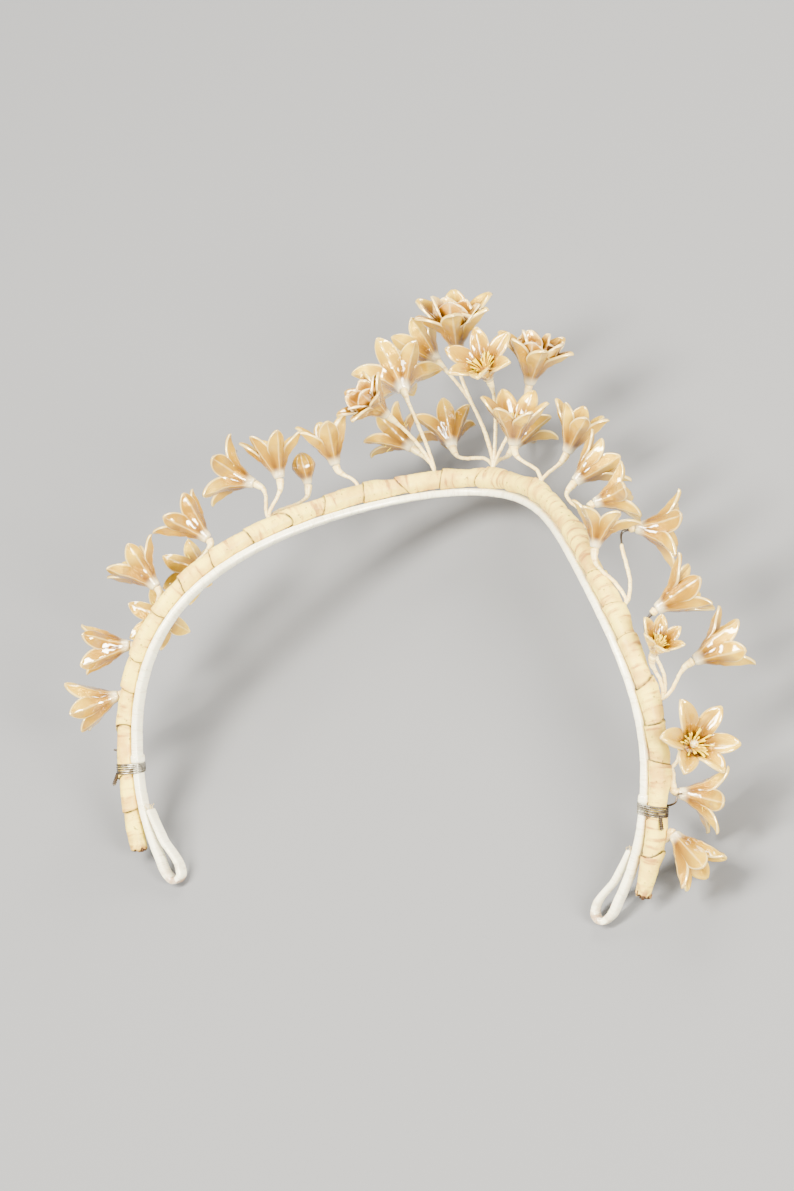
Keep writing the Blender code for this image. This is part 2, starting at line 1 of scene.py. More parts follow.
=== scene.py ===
"""Looks of a bridal crown of pearled wax blossoms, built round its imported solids.

The crown lies on its front. Every place comes from the frame: blossoms are set on the flat
bases of their solids, stems, roll and band follow the rings of theirs.
"""
import logging
import math
from dataclasses import dataclass, field
from enum import Enum
from typing import Any, Sequence

import bmesh
import bpy
import numpy as np
from mathutils import Matrix, Vector


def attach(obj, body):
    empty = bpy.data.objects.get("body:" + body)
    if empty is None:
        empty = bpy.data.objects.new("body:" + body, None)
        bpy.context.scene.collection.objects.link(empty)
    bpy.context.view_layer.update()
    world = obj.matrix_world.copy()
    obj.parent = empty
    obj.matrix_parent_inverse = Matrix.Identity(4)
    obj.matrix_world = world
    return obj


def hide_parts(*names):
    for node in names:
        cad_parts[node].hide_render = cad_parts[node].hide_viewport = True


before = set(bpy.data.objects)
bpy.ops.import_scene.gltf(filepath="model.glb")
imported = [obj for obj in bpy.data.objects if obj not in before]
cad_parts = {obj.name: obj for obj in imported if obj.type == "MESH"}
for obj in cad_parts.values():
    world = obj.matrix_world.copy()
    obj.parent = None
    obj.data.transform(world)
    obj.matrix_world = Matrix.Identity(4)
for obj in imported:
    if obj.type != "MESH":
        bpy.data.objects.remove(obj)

LOG = logging.getLogger("bridal_crown")
ROOT = "root"
MERGE = 2e-6                # metres between two vertices that are one
FLAT = math.radians(0.05)   # turn below which two faces are one flat face
MILLIMETRE = 0.001
GOLDEN_ANGLE = math.pi * (3 - math.sqrt(5))
ROUND = 1.04                # longest over shortest reach of corners that are on a circle
DOME = 0.25                 # share of a tube's radius that its ends bulge by
ASKEW = (0.3, 0.5, 0.81)    # direction that no tube begins along
SOFT, FINE, FINEST = 1.0, 3.0, 4.0          # detail of a noise
# wear_and_shade marks real wear at the roll's cut ends and painted shade at the bottom turn of
# the band's loops; bare marks bare wire
TAPE_MARKS = ("wear_and_shade", "bare")

Array = np.ndarray
Socket = bpy.types.NodeSocket
Material = bpy.types.Material
Mesh = bpy.types.Mesh
Pair = tuple[float, float]
Triple = tuple[float, float, float]
Colour = Triple
Step = tuple[float, float, float, float]    # low, high, and the result at each


class Slot(Enum):
    """Material slots of the record."""

    WAX = "pearled_wax"
    PAPER = "paper_tape"
    SATIN = "satin_tape"
    STEM = "stem_tape"
    WIRE = "binding_wire"


class Kind(Enum):
    """Form of a blossom, by the first word of its node's name."""

    STAR = "star"
    CUP = "cup"
    DOUBLE = "double"
    BUD = "bud"


def srgb(code: str) -> Colour:
    """Return the linear colour of a six-digit code.

    Args:
        code: Red, green and blue, two hexadecimal digits each.

    Returns:
        The three linear parts.
    """
    parts = [int(code[i:i + 2], 16) / 255 for i in (0, 2, 4)]
    return tuple(p / 12.92 if p <= 0.04045 else ((p + 0.055) / 1.055) ** 2.4 for p in parts)


class NodeMaker:
    """Adds nodes to a tree and links them."""

    def __init__(self, tree: bpy.types.NodeTree) -> None:
        """Keep the tree."""
        self.tree = tree

    @staticmethod
    def find(sockets: Any, name: str | int) -> Socket:
        """Return the live socket of that name or place.

        Args:
            sockets: Inputs or outputs of a node.
            name: The socket's name or place.

        Returns:
            The socket.
        """
        if isinstance(name, int):
            return sockets[name]
        return next(s for s in sockets if s.name == name and s.enabled)

    def feed(self, socket: Socket, value: Any) -> None:
        """Link a socket to another one, or set its value.

        Args:
            socket: The input to feed.
            value: A socket, a value, or None to leave it.
        """
        if isinstance(value, Socket):
            self.tree.links.new(value, socket)
        elif value is not None:
            socket.default_value = value

    def add(self, kind: str, inputs: dict[str | int, Any] | None = None,
            **settings: Any) -> bpy.types.Node:
        """Add a node.

        Args:
            kind: The node's type name.
            inputs: Values or sockets by input name or place.
            settings: Properties set before the inputs.

        Returns:
            The node.
        """
        node = self.tree.nodes.new(kind)
        for name, value in settings.items():
            setattr(node, name, value)
        for name, value in (inputs or {}).items():
            self.feed(self.find(node.inputs, name), value)
        return node

    def math(self, operation: str, *values: Any, clamp: bool = False) -> Socket:
        """Return the result of a number operation.

        Args:
            operation: The operation's name.
            values: Its numbers or sockets.
            clamp: Whether the result stays between 0 and 1.

        Returns:
            The result.
        """
        inputs = dict(enumerate(values))
        node = self.add("ShaderNodeMath", inputs, operation=operation, use_clamp=clamp)
        return node.outputs[0]

    def times(self, first: Any, second: Any) -> Socket:
        """Return the product of two numbers."""
        return self.math("MULTIPLY", first, second)

    def plus(self, first: Any, second: Any) -> Socket:
        """Return the sum of two numbers."""
        return self.math("ADD", first, second)

    def minus(self, first: Any, second: Any) -> Socket:
        """Return the first number less the second."""
        return self.math("SUBTRACT", first, second)

    def vector(self, operation: str, *values: Any) -> Socket:
        """Return the result of a vector operation.

        Args:
            operation: The operation's name.
            values: Its vectors, numbers or sockets.

        Returns:
            The result, a number for a length or a dot product.
        """
        node = self.add("ShaderNodeVectorMath", operation=operation)
        for place, value in enumerate(values):
            self.feed(node.inputs["Scale"] if operation == "SCALE" and place == 1
                      else node.inputs[place], value)
        return node.outputs["Value" if operation in ("LENGTH", "DOT_PRODUCT") else "Vector"]

    def combine(self, x: Any, y: Any, z: Any) -> Socket:
        """Return the vector of three numbers."""
        return self.add("ShaderNodeCombineXYZ", {0: x, 1: y, 2: z}).outputs[0]

    def ramp(self, value: Any, low: float, high: float, start: Any = 0.0,
             end: Any = 1.0) -> Socket:
        """Return a value eased from start to end while it goes from low to high.

        Args:
            value: The value to ease.
            low: Where the step begins.
            high: Where it ends.
            start: The result below it.
            end: The result above it.

        Returns:
            The eased value.
        """
        node = self.add("ShaderNodeMapRange", interpolation_type="SMOOTHSTEP")
        for name, given in (("Value", value), ("From Min", low), ("From Max", high),
                            ("To Min", start), ("To Max", end)):
            self.feed(node.inputs[name], given)
        return node.outputs["Result"]

    def noise(self, vector: Any, scale: float, detail: float = 2.0,
              rough: float = 0.5) -> Socket:
        """Return a soft noise from 0 to 1.

        Args:
            vector: Place to read it at.
            scale: Waves for each metre.
            detail: Octaves on top of the first.
            rough: Strength of each octave.

        Returns:
            The noise.
        """
        node = self.add("ShaderNodeTexNoise",
                        {"Vector": vector, "Scale": scale, "Detail": detail, "Roughness": rough})
        return node.outputs[0]


@dataclass(frozen=True)
class Seams:
    """Where tape overlaps itself along a tube: rings at a slant, or turns of a helix."""

    pitch: float
    helix: float = 0.0
    sway: float = 0.0
    wander: float = 0.3
    wander_scale: float = 60.0
    sway_rate: float = 1.7

    def rise(self, maker: NodeMaker, along: Any, around: Any, flat: Any) -> Socket:
        """Return the share of the way from one seam to the next.

        Args:
            maker: The tree that asks.
            along: Distance along the tube in metres.
            around: Turns round it.
            flat: Place on the unbent tube, which the wander is read from.

        Returns:
            A number that goes from 0 to 1 between two seams.
        """
        swing = maker.math("MULTIPLY_ADD", around, 2 * math.pi,
                           maker.times(along, self.sway_rate / self.pitch))
        turn = maker.math("MULTIPLY_ADD", along, 1 / self.pitch,
                          maker.times(around, self.helix))
        turn = maker.math("MULTIPLY_ADD", maker.math("COSINE", swing), self.sway, turn)
        drift = maker.minus(maker.noise(flat, self.wander_scale, SOFT), 0.5)
        return maker.math("FRACT", maker.math("MULTIPLY_ADD", drift, self.wander, turn))


class ShapeTree(NodeMaker):
    """A Geometry Nodes tree with named inputs."""

    def __init__(self, name: str) -> None:
        """Make the tree with its geometry sockets.

        Args:
            name: The tree's name.
        """
        super().__init__(bpy.data.node_groups.new(name, "GeometryNodeTree"))
        face = self.tree.interface
        face.new_socket("Geometry", in_out="INPUT", socket_type="NodeSocketGeometry")
        face.new_socket("Geometry", in_out="OUTPUT", socket_type="NodeSocketGeometry")
        self.entry = self.tree.nodes.new("NodeGroupInput")
        self.exit = self.tree.nodes.new("NodeGroupOutput")
        self.identifiers: dict[str, str] = {}

    def take(self, name: str, kind: str = "Float") -> Socket:
        """Add a named input and return its socket.

        Args:
            name: The input's name.
            kind: Its socket type, without the first words.

        Returns:
            The socket inside the tree.
        """
        made = self.tree.interface.new_socket(name, in_out="INPUT",
                                              socket_type=f"NodeSocket{kind}")
        self.identifiers[name] = made.identifier
        return self.entry.outputs[name]

    def named(self, name: str, kind: str = "FLOAT") -> Socket:
        """Return an attribute of the mesh.

        Args:
            name: The attribute's name.
            kind: Its data type.

        Returns:
            Its value.
        """
        node = self.add("GeometryNodeInputNamedAttribute", data_type=kind)
        node.inputs["Name"].default_value = name
        return self.find(node.outputs, "Attribute")

    def store(self, shape: Any, name: str, value: Any, kind: str = "FLOAT",
              domain: str = "POINT") -> Socket:
        """Write an attribute and return the geometry.

        Args:
            shape: The geometry.
            name: The attribute's name.
            value: What to write.
            kind: Its data type.
            domain: What carries it.

        Returns:
            The geometry that holds it.
        """
        node = self.add("GeometryNodeStoreNamedAttribute", data_type=kind, domain=domain)
        node.inputs["Name"].default_value = name
        self.feed(node.inputs["Geometry"], shape)
        self.feed(self.find(node.inputs, "Value"), value)
        return node.outputs["Geometry"]

    def chance(self, low: Any, high: Any, item: Any, seed: Any) -> Socket:
        """Return a random number between two, one for each item.

        Args:
            low: Lowest number.
            high: Highest number.
            item: What tells the items apart.
            seed: Seed of the draw.

        Returns:
            The number.
        """
        node = self.add("FunctionNodeRandomValue",
                        {"Min": low, "Max": high, "ID": item, "Seed": seed}, data_type="FLOAT")
        return self.find(node.outputs, "Value")

    def turned(self, place: Any, centre: Any, axis: Any, angle: Any) -> Socket:
        """Return a place turned about an axis through a centre.

        Args:
            place: The place.
            centre: A point on the axis.
            axis: The axis.
            angle: The turn in radians.

        Returns:
            The turned place.
        """
        node = self.add("ShaderNodeVectorRotate",
                        {"Vector": place, "Center": centre, "Axis": axis, "Angle": angle},
                        rotation_type="AXIS_ANGLE")
        return node.outputs[0]

    def polar(self, radius: Any, angle: Any, height: Any) -> Socket:
        """Return the place at a radius, an angle and a height.

        Args:
            radius: Distance from the Z axis.
            angle: Angle round it in radians.
            height: Place along it.

        Returns:
            The place.
        """
        return self.combine(self.times(self.math("COSINE", angle), radius),
                            self.times(self.math("SINE", angle), radius), height)

    def moved(self, shape: Any, **where: Any) -> Socket:
        """Return the geometry with its points moved.

        Args:
            shape: The geometry.
            where: Position or Offset of each point.

        Returns:
            The geometry.
        """
        node = self.add("GeometryNodeSetPosition", {"Geometry": shape, **where})
        return node.outputs[0]

    def close(self, shape: Any, material: Any) -> None:
        """End the tree with a geometry in real points and one material.

        Args:
            shape: The geometry.
            material: The material's socket.
        """
        shape = self.add("GeometryNodeRealizeInstances", {0: shape}).outputs[0]
        node = self.add("GeometryNodeSetMaterial", {"Geometry": shape, "Material": material})
        self.feed(self.exit.inputs[0], node.outputs[0])

    def grow(self, thing: bpy.types.Object, values: dict[str, Any]) -> Mesh:
        """Run the tree on an object and return the result as a plain mesh.

        Args:
            thing: Object whose geometry enters the tree. It is removed.
            values: The tree's inputs by name.

        Returns:
            The mesh.
        """
        modifier = thing.modifiers.new("grow", "NODES")
        modifier.node_group = self.tree
        for name, value in values.items():
            modifier[self.identifiers[name]] = value
        state = bpy.context.evaluated_depsgraph_get()
        made = bpy.data.meshes.new_from_object(thing.evaluated_get(state),
                                               preserve_all_data_layers=True, depsgraph=state)
        thing.modifiers.remove(modifier)
        bpy.data.objects.remove(thing)
        return made


def linked(name: str, data: Any) -> bpy.types.Object:
    """Return a new object of the scene that holds some data.

    Args:
        name: The object's name.
        data: Its mesh, camera or light.

    Returns:
        The object.
    """
    thing = bpy.data.objects.new(name, data)
    bpy.context.scene.collection.objects.link(thing)
    return thing


def joined(meshes: Sequence[Mesh]) -> Mesh:
    """Return one mesh made of several, with their materials and attributes.

    Args:
        meshes: The meshes, at least one.

    Returns:
        The one mesh.
    """
    if len(meshes) == 1:
        return meshes[0]
    things = [linked("joining", mesh) for mesh in meshes]
    with bpy.context.temp_override(active_object=things[0], object=things[0],
                                   selected_objects=things, selected_editable_objects=things):
        bpy.ops.object.join()
    mesh = things[0].data
    bpy.data.objects.remove(things[0])
    return mesh


def keep_piece(name: str, mesh: Mesh, slot: Slot, *nodes: str) -> bpy.types.Object:
    """Put a finished piece in the scene in place of its solids.

    Args:
        name: The piece's name.
        mesh: Its mesh, in place.
        slot: The record's slot; not used.
        nodes: The solids that it stands for.

    Returns:
        The piece.
    """
    co = np.empty(len(mesh.vertices) * 3, np.float32)
    mesh.vertices.foreach_get("co", co)
    co = co.reshape(-1, 3)
    np.maximum(co[:, 2], 0.0, out=co[:, 2])
    mesh.vertices.foreach_set("co", co.ravel())
    mesh.shade_smooth()
    mesh.update()
    piece = linked(name, mesh)
    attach(piece, ROOT)
    if nodes:
        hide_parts(*nodes)
    mesh.calc_loop_triangles()
    LOG.info("%s: %d triangles", name, len(mesh.loop_triangles))
    return piece


@dataclass(frozen=True)
class RoundFace:
    """A flat face with its corners on a circle."""

    face: bmesh.types.BMFace
    centre: Vector
    normal: Vector
    radius: float


class Solid:
    """A merged copy of a frame node, read for its rings and flat ends."""

    def __init__(self, node: str) -> None:
        """Copy and merge the node's mesh.

        Args:
            node: The node's name.
        """
        self.shape = bmesh.new()
        self.shape.from_mesh(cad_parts[node].data)
        bmesh.ops.remove_doubles(self.shape, verts=self.shape.verts, dist=MERGE)
        bmesh.ops.dissolve_limit(self.shape, angle_limit=FLAT, verts=self.shape.verts,
                                 edges=self.shape.edges)

    def round_faces(self, corners: int, low: float = 0.0, high: float = 1.0) -> list[RoundFace]:
        """Return the flat faces that have so many corners on a circle of a radius in range.

        Args:
            corners: How many corners.
            low: Radius that they have to be over.
            high: Radius that they have to be under.

        Returns:
            The faces.
        """
        found = []
        for face in self.shape.faces:
            if len(face.verts) != corners:
                continue
            centre = sum((v.co for v in face.verts), Vector()) / corners
            reach = [(v.co - centre).length for v in face.verts]
            if max(reach) < ROUND * min(reach) and low < reach[0] < high:
                found.append(RoundFace(face, centre, face.normal.copy(), reach[0]))
        return found

    def rings(self, face: bmesh.types.BMFace) -> list[list[Vector]]:
        """Return the rings of corners from an end face on, while each has as many as the first.

        Args:
            face: The end face.

        Returns:
            The rings, the end face's own one first.
        """
        ring = list(face.verts)
        seen = set(ring)
        found = []
        while len(ring) == len(face.verts):
            found.append([v.co.copy() for v in ring])
            ring = sorted({e.other_vert(v) for v in ring for e in v.link_edges} - seen,
                          key=lambda v: tuple(v.co))
            seen |= set(ring)
        return found

    def smallest_face(self, corners: int) -> bmesh.types.BMFace:
        """Return the smallest face with so many corners, which is an end of a thin wire."""
        faces = [f for f in self.shape.faces if len(f.verts) == corners]
        return min(faces, key=lambda f: f.calc_area())

    def free(self) -> None:
        """Release the copy."""
        self.shape.free()


def middle(ring: Sequence[Vector]) -> Array:
    """Return the middle of a ring."""
    return np.array([list(p) for p in ring]).mean(0)


def unit(vector: Array) -> Array:
    """Return vectors of length one, along the last axis."""
    return vector / np.maximum(np.linalg.norm(vector, axis=-1, keepdims=True), 1e-12)


def eased(value: Array | float, low: float, high: float) -> Array:
    """Return 0 below low, 1 above high and a smooth step between."""
    share = np.clip((np.asarray(value, float) - low) / (high - low), 0, 1)
    return share * share * (3 - 2 * share)


@dataclass
class Route:
    """Line that a tube follows, with its two half-sizes and its bare share at each point."""

    points: Array
    wides: Array
    half_wide: Array
    half_thin: Array
    marks: dict[str, Array] = field(default_factory=dict)

    @classmethod
    def through(cls, stops: Array, wides: Array | None, wide: Array,
                thin: Array, step: float) -> "Route":
        """Return a smooth route through a few stops.

        Args:
            stops: Points to pass through.
            wides: Direction of the wide axis at each, or None for a round tube.
            wide: Half-size along the wide axis at each.
            thin: Half-size across it at each.
            step: Distance between two points of the route.

        Returns:
            The route.
        """
        gaps = np.linalg.norm(np.diff(stops, axis=0), axis=1)
        place = np.concatenate([[0.0], np.cumsum(gaps)])
        slopes = np.gradient(stops, place, axis=0)
        count = max(4, int(round(place[-1] / step)) + 1)
        now = np.linspace(0.0, place[-1], count)
        index = np.clip(np.searchsorted(place, now, side="right") - 1, 0, len(gaps) - 1)
        span = gaps[index][:, None]
        t = ((now - place[index]) / gaps[index])[:, None]
        points = (stops[index] * (2 * t ** 3 - 3 * t ** 2 + 1)
                  + slopes[index] * span * (t ** 3 - 2 * t ** 2 + t)
                  + stops[index + 1] * (3 * t ** 2 - 2 * t ** 3)
                  + slopes[index + 1] * span * (t ** 3 - t ** 2))
        alongs = unit(np.gradient(points, axis=0))
        if wides is None:
            axis = np.cross(alongs[0], ASKEW)
            carried = []
            for along in alongs:
                axis = axis - along * axis.dot(along)
                axis = axis / np.linalg.norm(axis)
                carried.append(axis)
            axes = np.array(carried)
        else:
            axes = np.stack([np.interp(now, place, wides[:, i]) for i in range(3)], 1)
            axes = unit(axes - alongs * (axes * alongs).sum(1, keepdims=True))
        return cls(points, axes, np.interp(now, place, wide), np.interp(now, place, thin))

    def lengths(self) -> Array:
        """Return the distance along the route at each point."""
        gaps = np.linalg.norm(np.diff(self.points, axis=0), axis=1)
        return np.concatenate([[0.0], np.cumsum(gaps)])


def tube_mesh(name: str, routes: Sequence[Route], sides: int, marks: Sequence[str] = (),
              power: float = 2.0) -> Mesh:
    """Return closed tubes along routes, as one mesh.

    Args:
        name: The mesh's name.
        routes: The routes.
        sides: Corners of the section.
        marks: Names of the routes' marks to keep as attributes.
        power: 2 for a round section, more for a square one with round corners.

    Returns:
        The mesh, with the attributes along (metres), around (turns) and radius (metres), and
        the UV map wrap (turns, metres).
    """
    angles = 2 * math.pi * np.arange(sides) / sides
    wide = np.sign(np.cos(angles)) * np.abs(np.cos(angles)) ** (2 / power)
    thin = np.sign(np.sin(angles)) * np.abs(np.sin(angles)) ** (2 / power)
    places: list[Array] = []
    faces: list[tuple[int, ...]] = []
    wrap: list[Pair] = []
    values: dict[str, list[Array]] = {n: [] for n in ("along", "around", "radius", *marks)}
    start = 0
    for route in routes:
        alongs = unit(np.gradient(route.points, axis=0))
        thins = np.cross(alongs, route.wides)
        rings = (route.points[:, None]
                 + route.wides[:, None] * (wide[None, :] * route.half_wide[:, None])[..., None]
                 + thins[:, None] * (thin[None, :] * route.half_thin[:, None])[..., None])
        count = len(route.points)
        length = route.lengths()
        ends = np.array([route.points[0] - alongs[0] * route.half_thin[0] * DOME,
                         route.points[-1] + alongs[-1] * route.half_thin[-1] * DOME])
        places += [rings.reshape(-1, 3), ends]
        values["along"].append(np.concatenate([np.repeat(length, sides), length[[0, -1]]]))
        values["around"].append(np.concatenate([np.tile(angles / (2 * math.pi), count), [0, 0]]))
        radius = np.concatenate([np.repeat(route.half_thin, sides), route.half_thin[[0, -1]]])
        values["radius"].append(radius)
        for mark in marks:
            held = route.marks.get(mark, np.zeros(count))
            values[mark].append(np.concatenate([np.repeat(held, sides), held[[0, -1]]]))
        for i in range(count - 1):
            for j in range(sides):
                k = (j + 1) % sides
                a, b = start + i * sides, start + (i + 1) * sides
                faces.append((a + j, a + k, b + k, b + j))
                wrap += [(j / sides, length[i]), ((j + 1) / sides, length[i]),
                         ((j + 1) / sides, length[i + 1]), (j / sides, length[i + 1])]
        last = start + (count - 1) * sides
        first_end, last_end = start + count * sides, start + count * sides + 1
        for j in range(sides):
            k = (j + 1) % sides
            faces.append((first_end, start + k, start + j))
            faces.append((last_end, last + j, last + k))
            wrap += [(j / sides, length[0])] * 3 + [(j / sides, length[-1])] * 3
        start += count * sides + 2
    mesh = bpy.data.meshes.new(name)
    mesh.from_pydata(np.concatenate(places).tolist(), [], faces)
    for mark, parts in values.items():
        mesh.attributes.new(mark, "FLOAT", "POINT").data.foreach_set(
            "value", np.concatenate(parts).astype(np.float32))
    layer = mesh.uv_layers.new(name="wrap")
    layer.data.foreach_set("uv", np.array(wrap, np.float32).ravel())
    return mesh


class Finish(NodeMaker):
    """A material with a Principled shader, built from named parts."""

    def __init__(self, name: str, constants: dict[str, Any]) -> None:
        """Make the material and set what is the same all over it.

        Args:
            name: The material's name.
            constants: Values by socket name.
        """
        self.made = bpy.data.materials.new(name)
        self.made.use_nodes = True
        super().__init__(self.made.node_tree)
        self.shader = self.tree.nodes["Principled BSDF"]
        for socket, value in constants.items():
            self.shader.inputs[socket].default_value = value
        self.place = self.add("ShaderNodeTexCoord").outputs["Object"]

    def mark(self, name: str, vector: bool = False) -> Socket:
        """Return an attribute of the piece."""
        node = self.add("ShaderNodeAttribute", attribute_name=name)
        return node.outputs["Vector" if vector else "Fac"]

    def blend(self, share: Any, first: Any, second: Any) -> Socket:
        """Return a colour between two, each a socket or three linear parts.

        Args:
            share: Share of the second one.
            first: The first colour.
            second: The second colour.

        Returns:
            The colour.
        """
        node = self.add("ShaderNodeMix", data_type="RGBA")
        self.feed(node.inputs["Factor"], share)
        for name, colour in (("A", first), ("B", second)):
            value = (*colour, 1.0) if isinstance(colour, tuple) else colour
            self.feed(self.find(node.inputs, name), value)
        return self.find(node.outputs, "Result")

    def layered(self, base: Any, *coats: tuple[Any, Any]) -> Any:
        """Return a colour with others laid over it.

        Args:
            base: The first colour.
            coats: Share and colour of each coat, in order.

        Returns:
            The colour.
        """
        for share, colour in coats:
            base = self.blend(share, base, colour)
        return base

    def bumped(self, height: Any, strength: float, distance: float) -> None:
        """Give the shader a relief of a distance in metres.

        Args:
            height: The relief from 0 to 1.
            strength: How strongly it shows.
            distance: How high 1 is.
        """
        node = self.add("ShaderNodeBump", {"Height": height, "Strength": strength,
                                           "Distance": distance})
        self.feed(self.shader.inputs["Normal"], node.outputs[0])

    def show(self, colour: Any, rough: Any) -> Material:
        """Give the shader its colour and roughness and return the material.

        Args:
            colour: A colour's socket.
            rough: The roughness or its socket.

        Returns:
            The material.
        """
        self.feed(self.shader.inputs["Base Color"], colour)
        self.feed(self.shader.inputs["Roughness"], rough)
        return self.made


@dataclass(frozen=True)
class PearledWax:
    """Wax-dipped petals: painted highlights of pale pearl on ridges and rims, painted shade of
    amber where they are deep.

    Along a petal 0 is its hinge, 1 its tip and -1 its base. Across it 0 is the midrib and 1
    the edge. The crevice is how far away, in metres, a fold still paints shade on the wax.
    """

    name: str = "pearled_wax"
    cream: Colour = srgb("E7C138")
    peach: Colour = srgb("D2A618")
    honey: Colour = srgb("A07000")
    amber: Colour = srgb("6A4000")
    # milk is the colour of the painted highlights on rims, tips and ridges
    milk: Colour = srgb("FBE49C")
    # silver is the calyx's own pale tone, laid on strongly so that it is also a painted highlight
    # on the knob
    silver: Colour = srgb("F4E8C4")
    mottle_scale: float = 170.0
    drift_scale: float = 45.0
    grain_scale: float = 420.0
    crevice: float = 0.0090
    mottled: Step = (0.34, 0.64, 0.0, 1.0)
    drifted: Step = (0.42, 0.66, 0.0, 0.8)
    # Painted shade: honey towards the base of each petal
    base_shade_along: Step = (0.0, 0.80, 0.9, 0.0)
    # Painted shade: amber between neighbouring petals low down
    gap_shade_across: Step = (0.20, 0.85, 0.0, 1.0)
    gap_shade_along: Step = (-0.4, 0.70, 1.0, 0.0)
    gap_shade_share: float = 0.9
    # Painted shade: amber deep inside the throat
    throat_shade_along: Step = (-0.2, 0.70, 1.0, 0.0)
    throat_shade_share: float = 0.85
    # Painted shade: honey and amber where ambient occlusion finds folds nearby
    shaded: Step = (0.46, 0.94, 0.95, 0.0)
    hidden: Step = (0.24, 0.84, 1.0, 0.0)
    # Painted highlight: milk on rims, tips and the midrib's ridge
    rim_highlight_across: Step = (0.86, 0.99, 0.0, 1.0)
    rim_highlight_along: Step = (0.10, 0.45, 0.0, 0.65)
    ridge_highlight_across: Step = (0.0, 0.16, 0.40, 0.0)
    tip_highlight_along: Step = (0.86, 1.0, 0.0, 0.45)
    calyx_along: Step = (-1.0, -0.30, 0.95, 0.0)
    gloss: Step = (0.3, 0.7, 0.12, 0.26)
    streaks: Triple = (5.0, 1.2, 3.0)
    streak_share: float = 0.8
    relief: Pair = (0.5, 0.0006)

    def material(self) -> Material:
        """Return the material.

        Returns:
            The material.
        """
        finish = Finish(self.name, {
            "Subsurface Weight": 0.15, "Subsurface Radius": (1.0, 0.75, 0.15),
            "Subsurface Scale": 0.0010, "Coat Weight": 1.0, "Coat Roughness": 0.06,
            "Coat IOR": 1.9, "Specular IOR Level": 0.2,
            "Specular Tint": (1.0, 0.84, 0.52, 1.0), "Metallic": 0.2,
        })
        along, across = finish.mark("along"), finish.mark("across")
        inside = finish.mark("inside")
        mottle = finish.noise(finish.place, self.mottle_scale, FINE)
        drift = finish.noise(finish.place, self.drift_scale, SOFT)
        # gap is painted shade between neighbouring petals near their base
        gap = finish.times(finish.ramp(across, *self.gap_shade_across),
                           finish.ramp(along, *self.gap_shade_along))
        # throat is painted shade on the inner sheet, deep in the throat
        throat = finish.times(inside, finish.ramp(along, *self.throat_shade_along))
        # Painted shade from ambient occlusion: folds within the crevice reach darken the wax
        open_sky = finish.add("ShaderNodeAmbientOcclusion", {"Distance": self.crevice},
                              samples=8, only_local=True).outputs["AO"]
        # Painted highlight: rim, tip and ridge marks lay milk where glints would fall
        rim = finish.times(finish.ramp(across, *self.rim_highlight_across),
                           finish.ramp(along, *self.rim_highlight_along))
        ridge_highlight = finish.times(finish.ramp(across, *self.ridge_highlight_across),
                             finish.minus(1.0, inside))
        pale = finish.math("MAXIMUM", rim, finish.ramp(along, *self.tip_highlight_along))
        body = finish.layered(
            finish.blend(finish.ramp(mottle, *self.mottled), self.peach, self.cream),
            (finish.ramp(drift, *self.drifted), self.honey),
            # painted shade in honey towards each petal's base
            (finish.ramp(along, *self.base_shade_along), self.honey),
            # painted shade in amber between petals
            (finish.times(gap, self.gap_shade_share), self.amber),
            # painted shade in amber inside the throat
            (finish.times(throat, self.throat_shade_share), self.amber),
            # painted shade in honey and amber in occluded folds
            (finish.ramp(open_sky, *self.shaded), self.honey),
            (finish.ramp(open_sky, *self.hidden), self.amber),
            # painted highlight in milk on rims, tips and ridges
            (finish.math("MAXIMUM", pale, ridge_highlight), self.milk),
            # own pale silver of the calyx, partly a painted highlight
            (finish.ramp(along, *self.calyx_along), self.silver))
        streak_across, streak_along, streak_scale = self.streaks
        streaks = finish.noise(finish.combine(finish.times(across, streak_across),
                                              finish.times(along, streak_along), drift),
                               streak_scale)
        grain = finish.noise(finish.place, self.grain_scale)
        finish.bumped(finish.plus(finish.times(streaks, self.streak_share),
                                  finish.times(grain, 1 - self.streak_share)), *self.relief)
        return finish.show(body, finish.ramp(mottle, *self.gloss))


# The ruffles' wax, with the same painted highlights and painted shade in lighter, rosier colours
RUFFLE_WAX = PearledWax("ruffle_wax", cream=srgb("F8D878"), peach=srgb("F1C662"),
                        honey=srgb("D8A438"), amber=srgb("946008"), milk=srgb("FBE9BE"))


@dataclass(frozen=True)
class StamenWax:
    """Yellow waxed thread, deeper at its foot, with a pale tip."""

    foot: Colour = srgb("DA9600")
    tip: Colour = srgb("F6D600")
    grain_scale: float = 900.0
    paler: Step = (0.1, 0.8, 0.0, 1.0)
    grain_share: float = 0.3
    relief: Pair = (0.3, 0.0001)
    gloss: Step = (0.3, 0.7, 0.28, 0.5)

    def material(self) -> Material:
        """Return the material.

        Returns:
            The material.
        """
        finish = Finish("stamen_wax", {"Subsurface Weight": 0.3,
                                       "Subsurface Radius": (1.0, 0.6, 0.1),
                                       "Subsurface Scale": 0.0006, "Coat Weight": 0.3})
        grain = finish.noise(finish.place, self.grain_scale)
        paler = finish.ramp(finish.mark("along"), *self.paler)
        finish.bumped(grain, *self.relief)
        return finish.show(finish.layered(self.foot, (paler, self.tip),
                                          (finish.times(grain, self.grain_share), self.foot)),
                           finish.ramp(grain, *self.gloss))


@dataclass(frozen=True)
class Pearl:
    """Round pearl bead."""

    milk: Colour = srgb("FFF2CC")
    rose: Colour = srgb("F0D296")
    cloud_scale: float = 700.0
    gloss: Step = (0.3, 0.7, 0.12, 0.22)

    def material(self) -> Material:
        """Return the material.

        Returns:
            The material.
        """
        finish = Finish("pearl", {"Coat Weight": 1.0, "Coat Roughness": 0.05,
                                  "Subsurface Weight": 0.3, "Subsurface Scale": 0.001})
        cloud = finish.noise(finish.place, self.cloud_scale)
        return finish.show(finish.blend(cloud, self.milk, self.rose),
                           finish.ramp(cloud, *self.gloss))


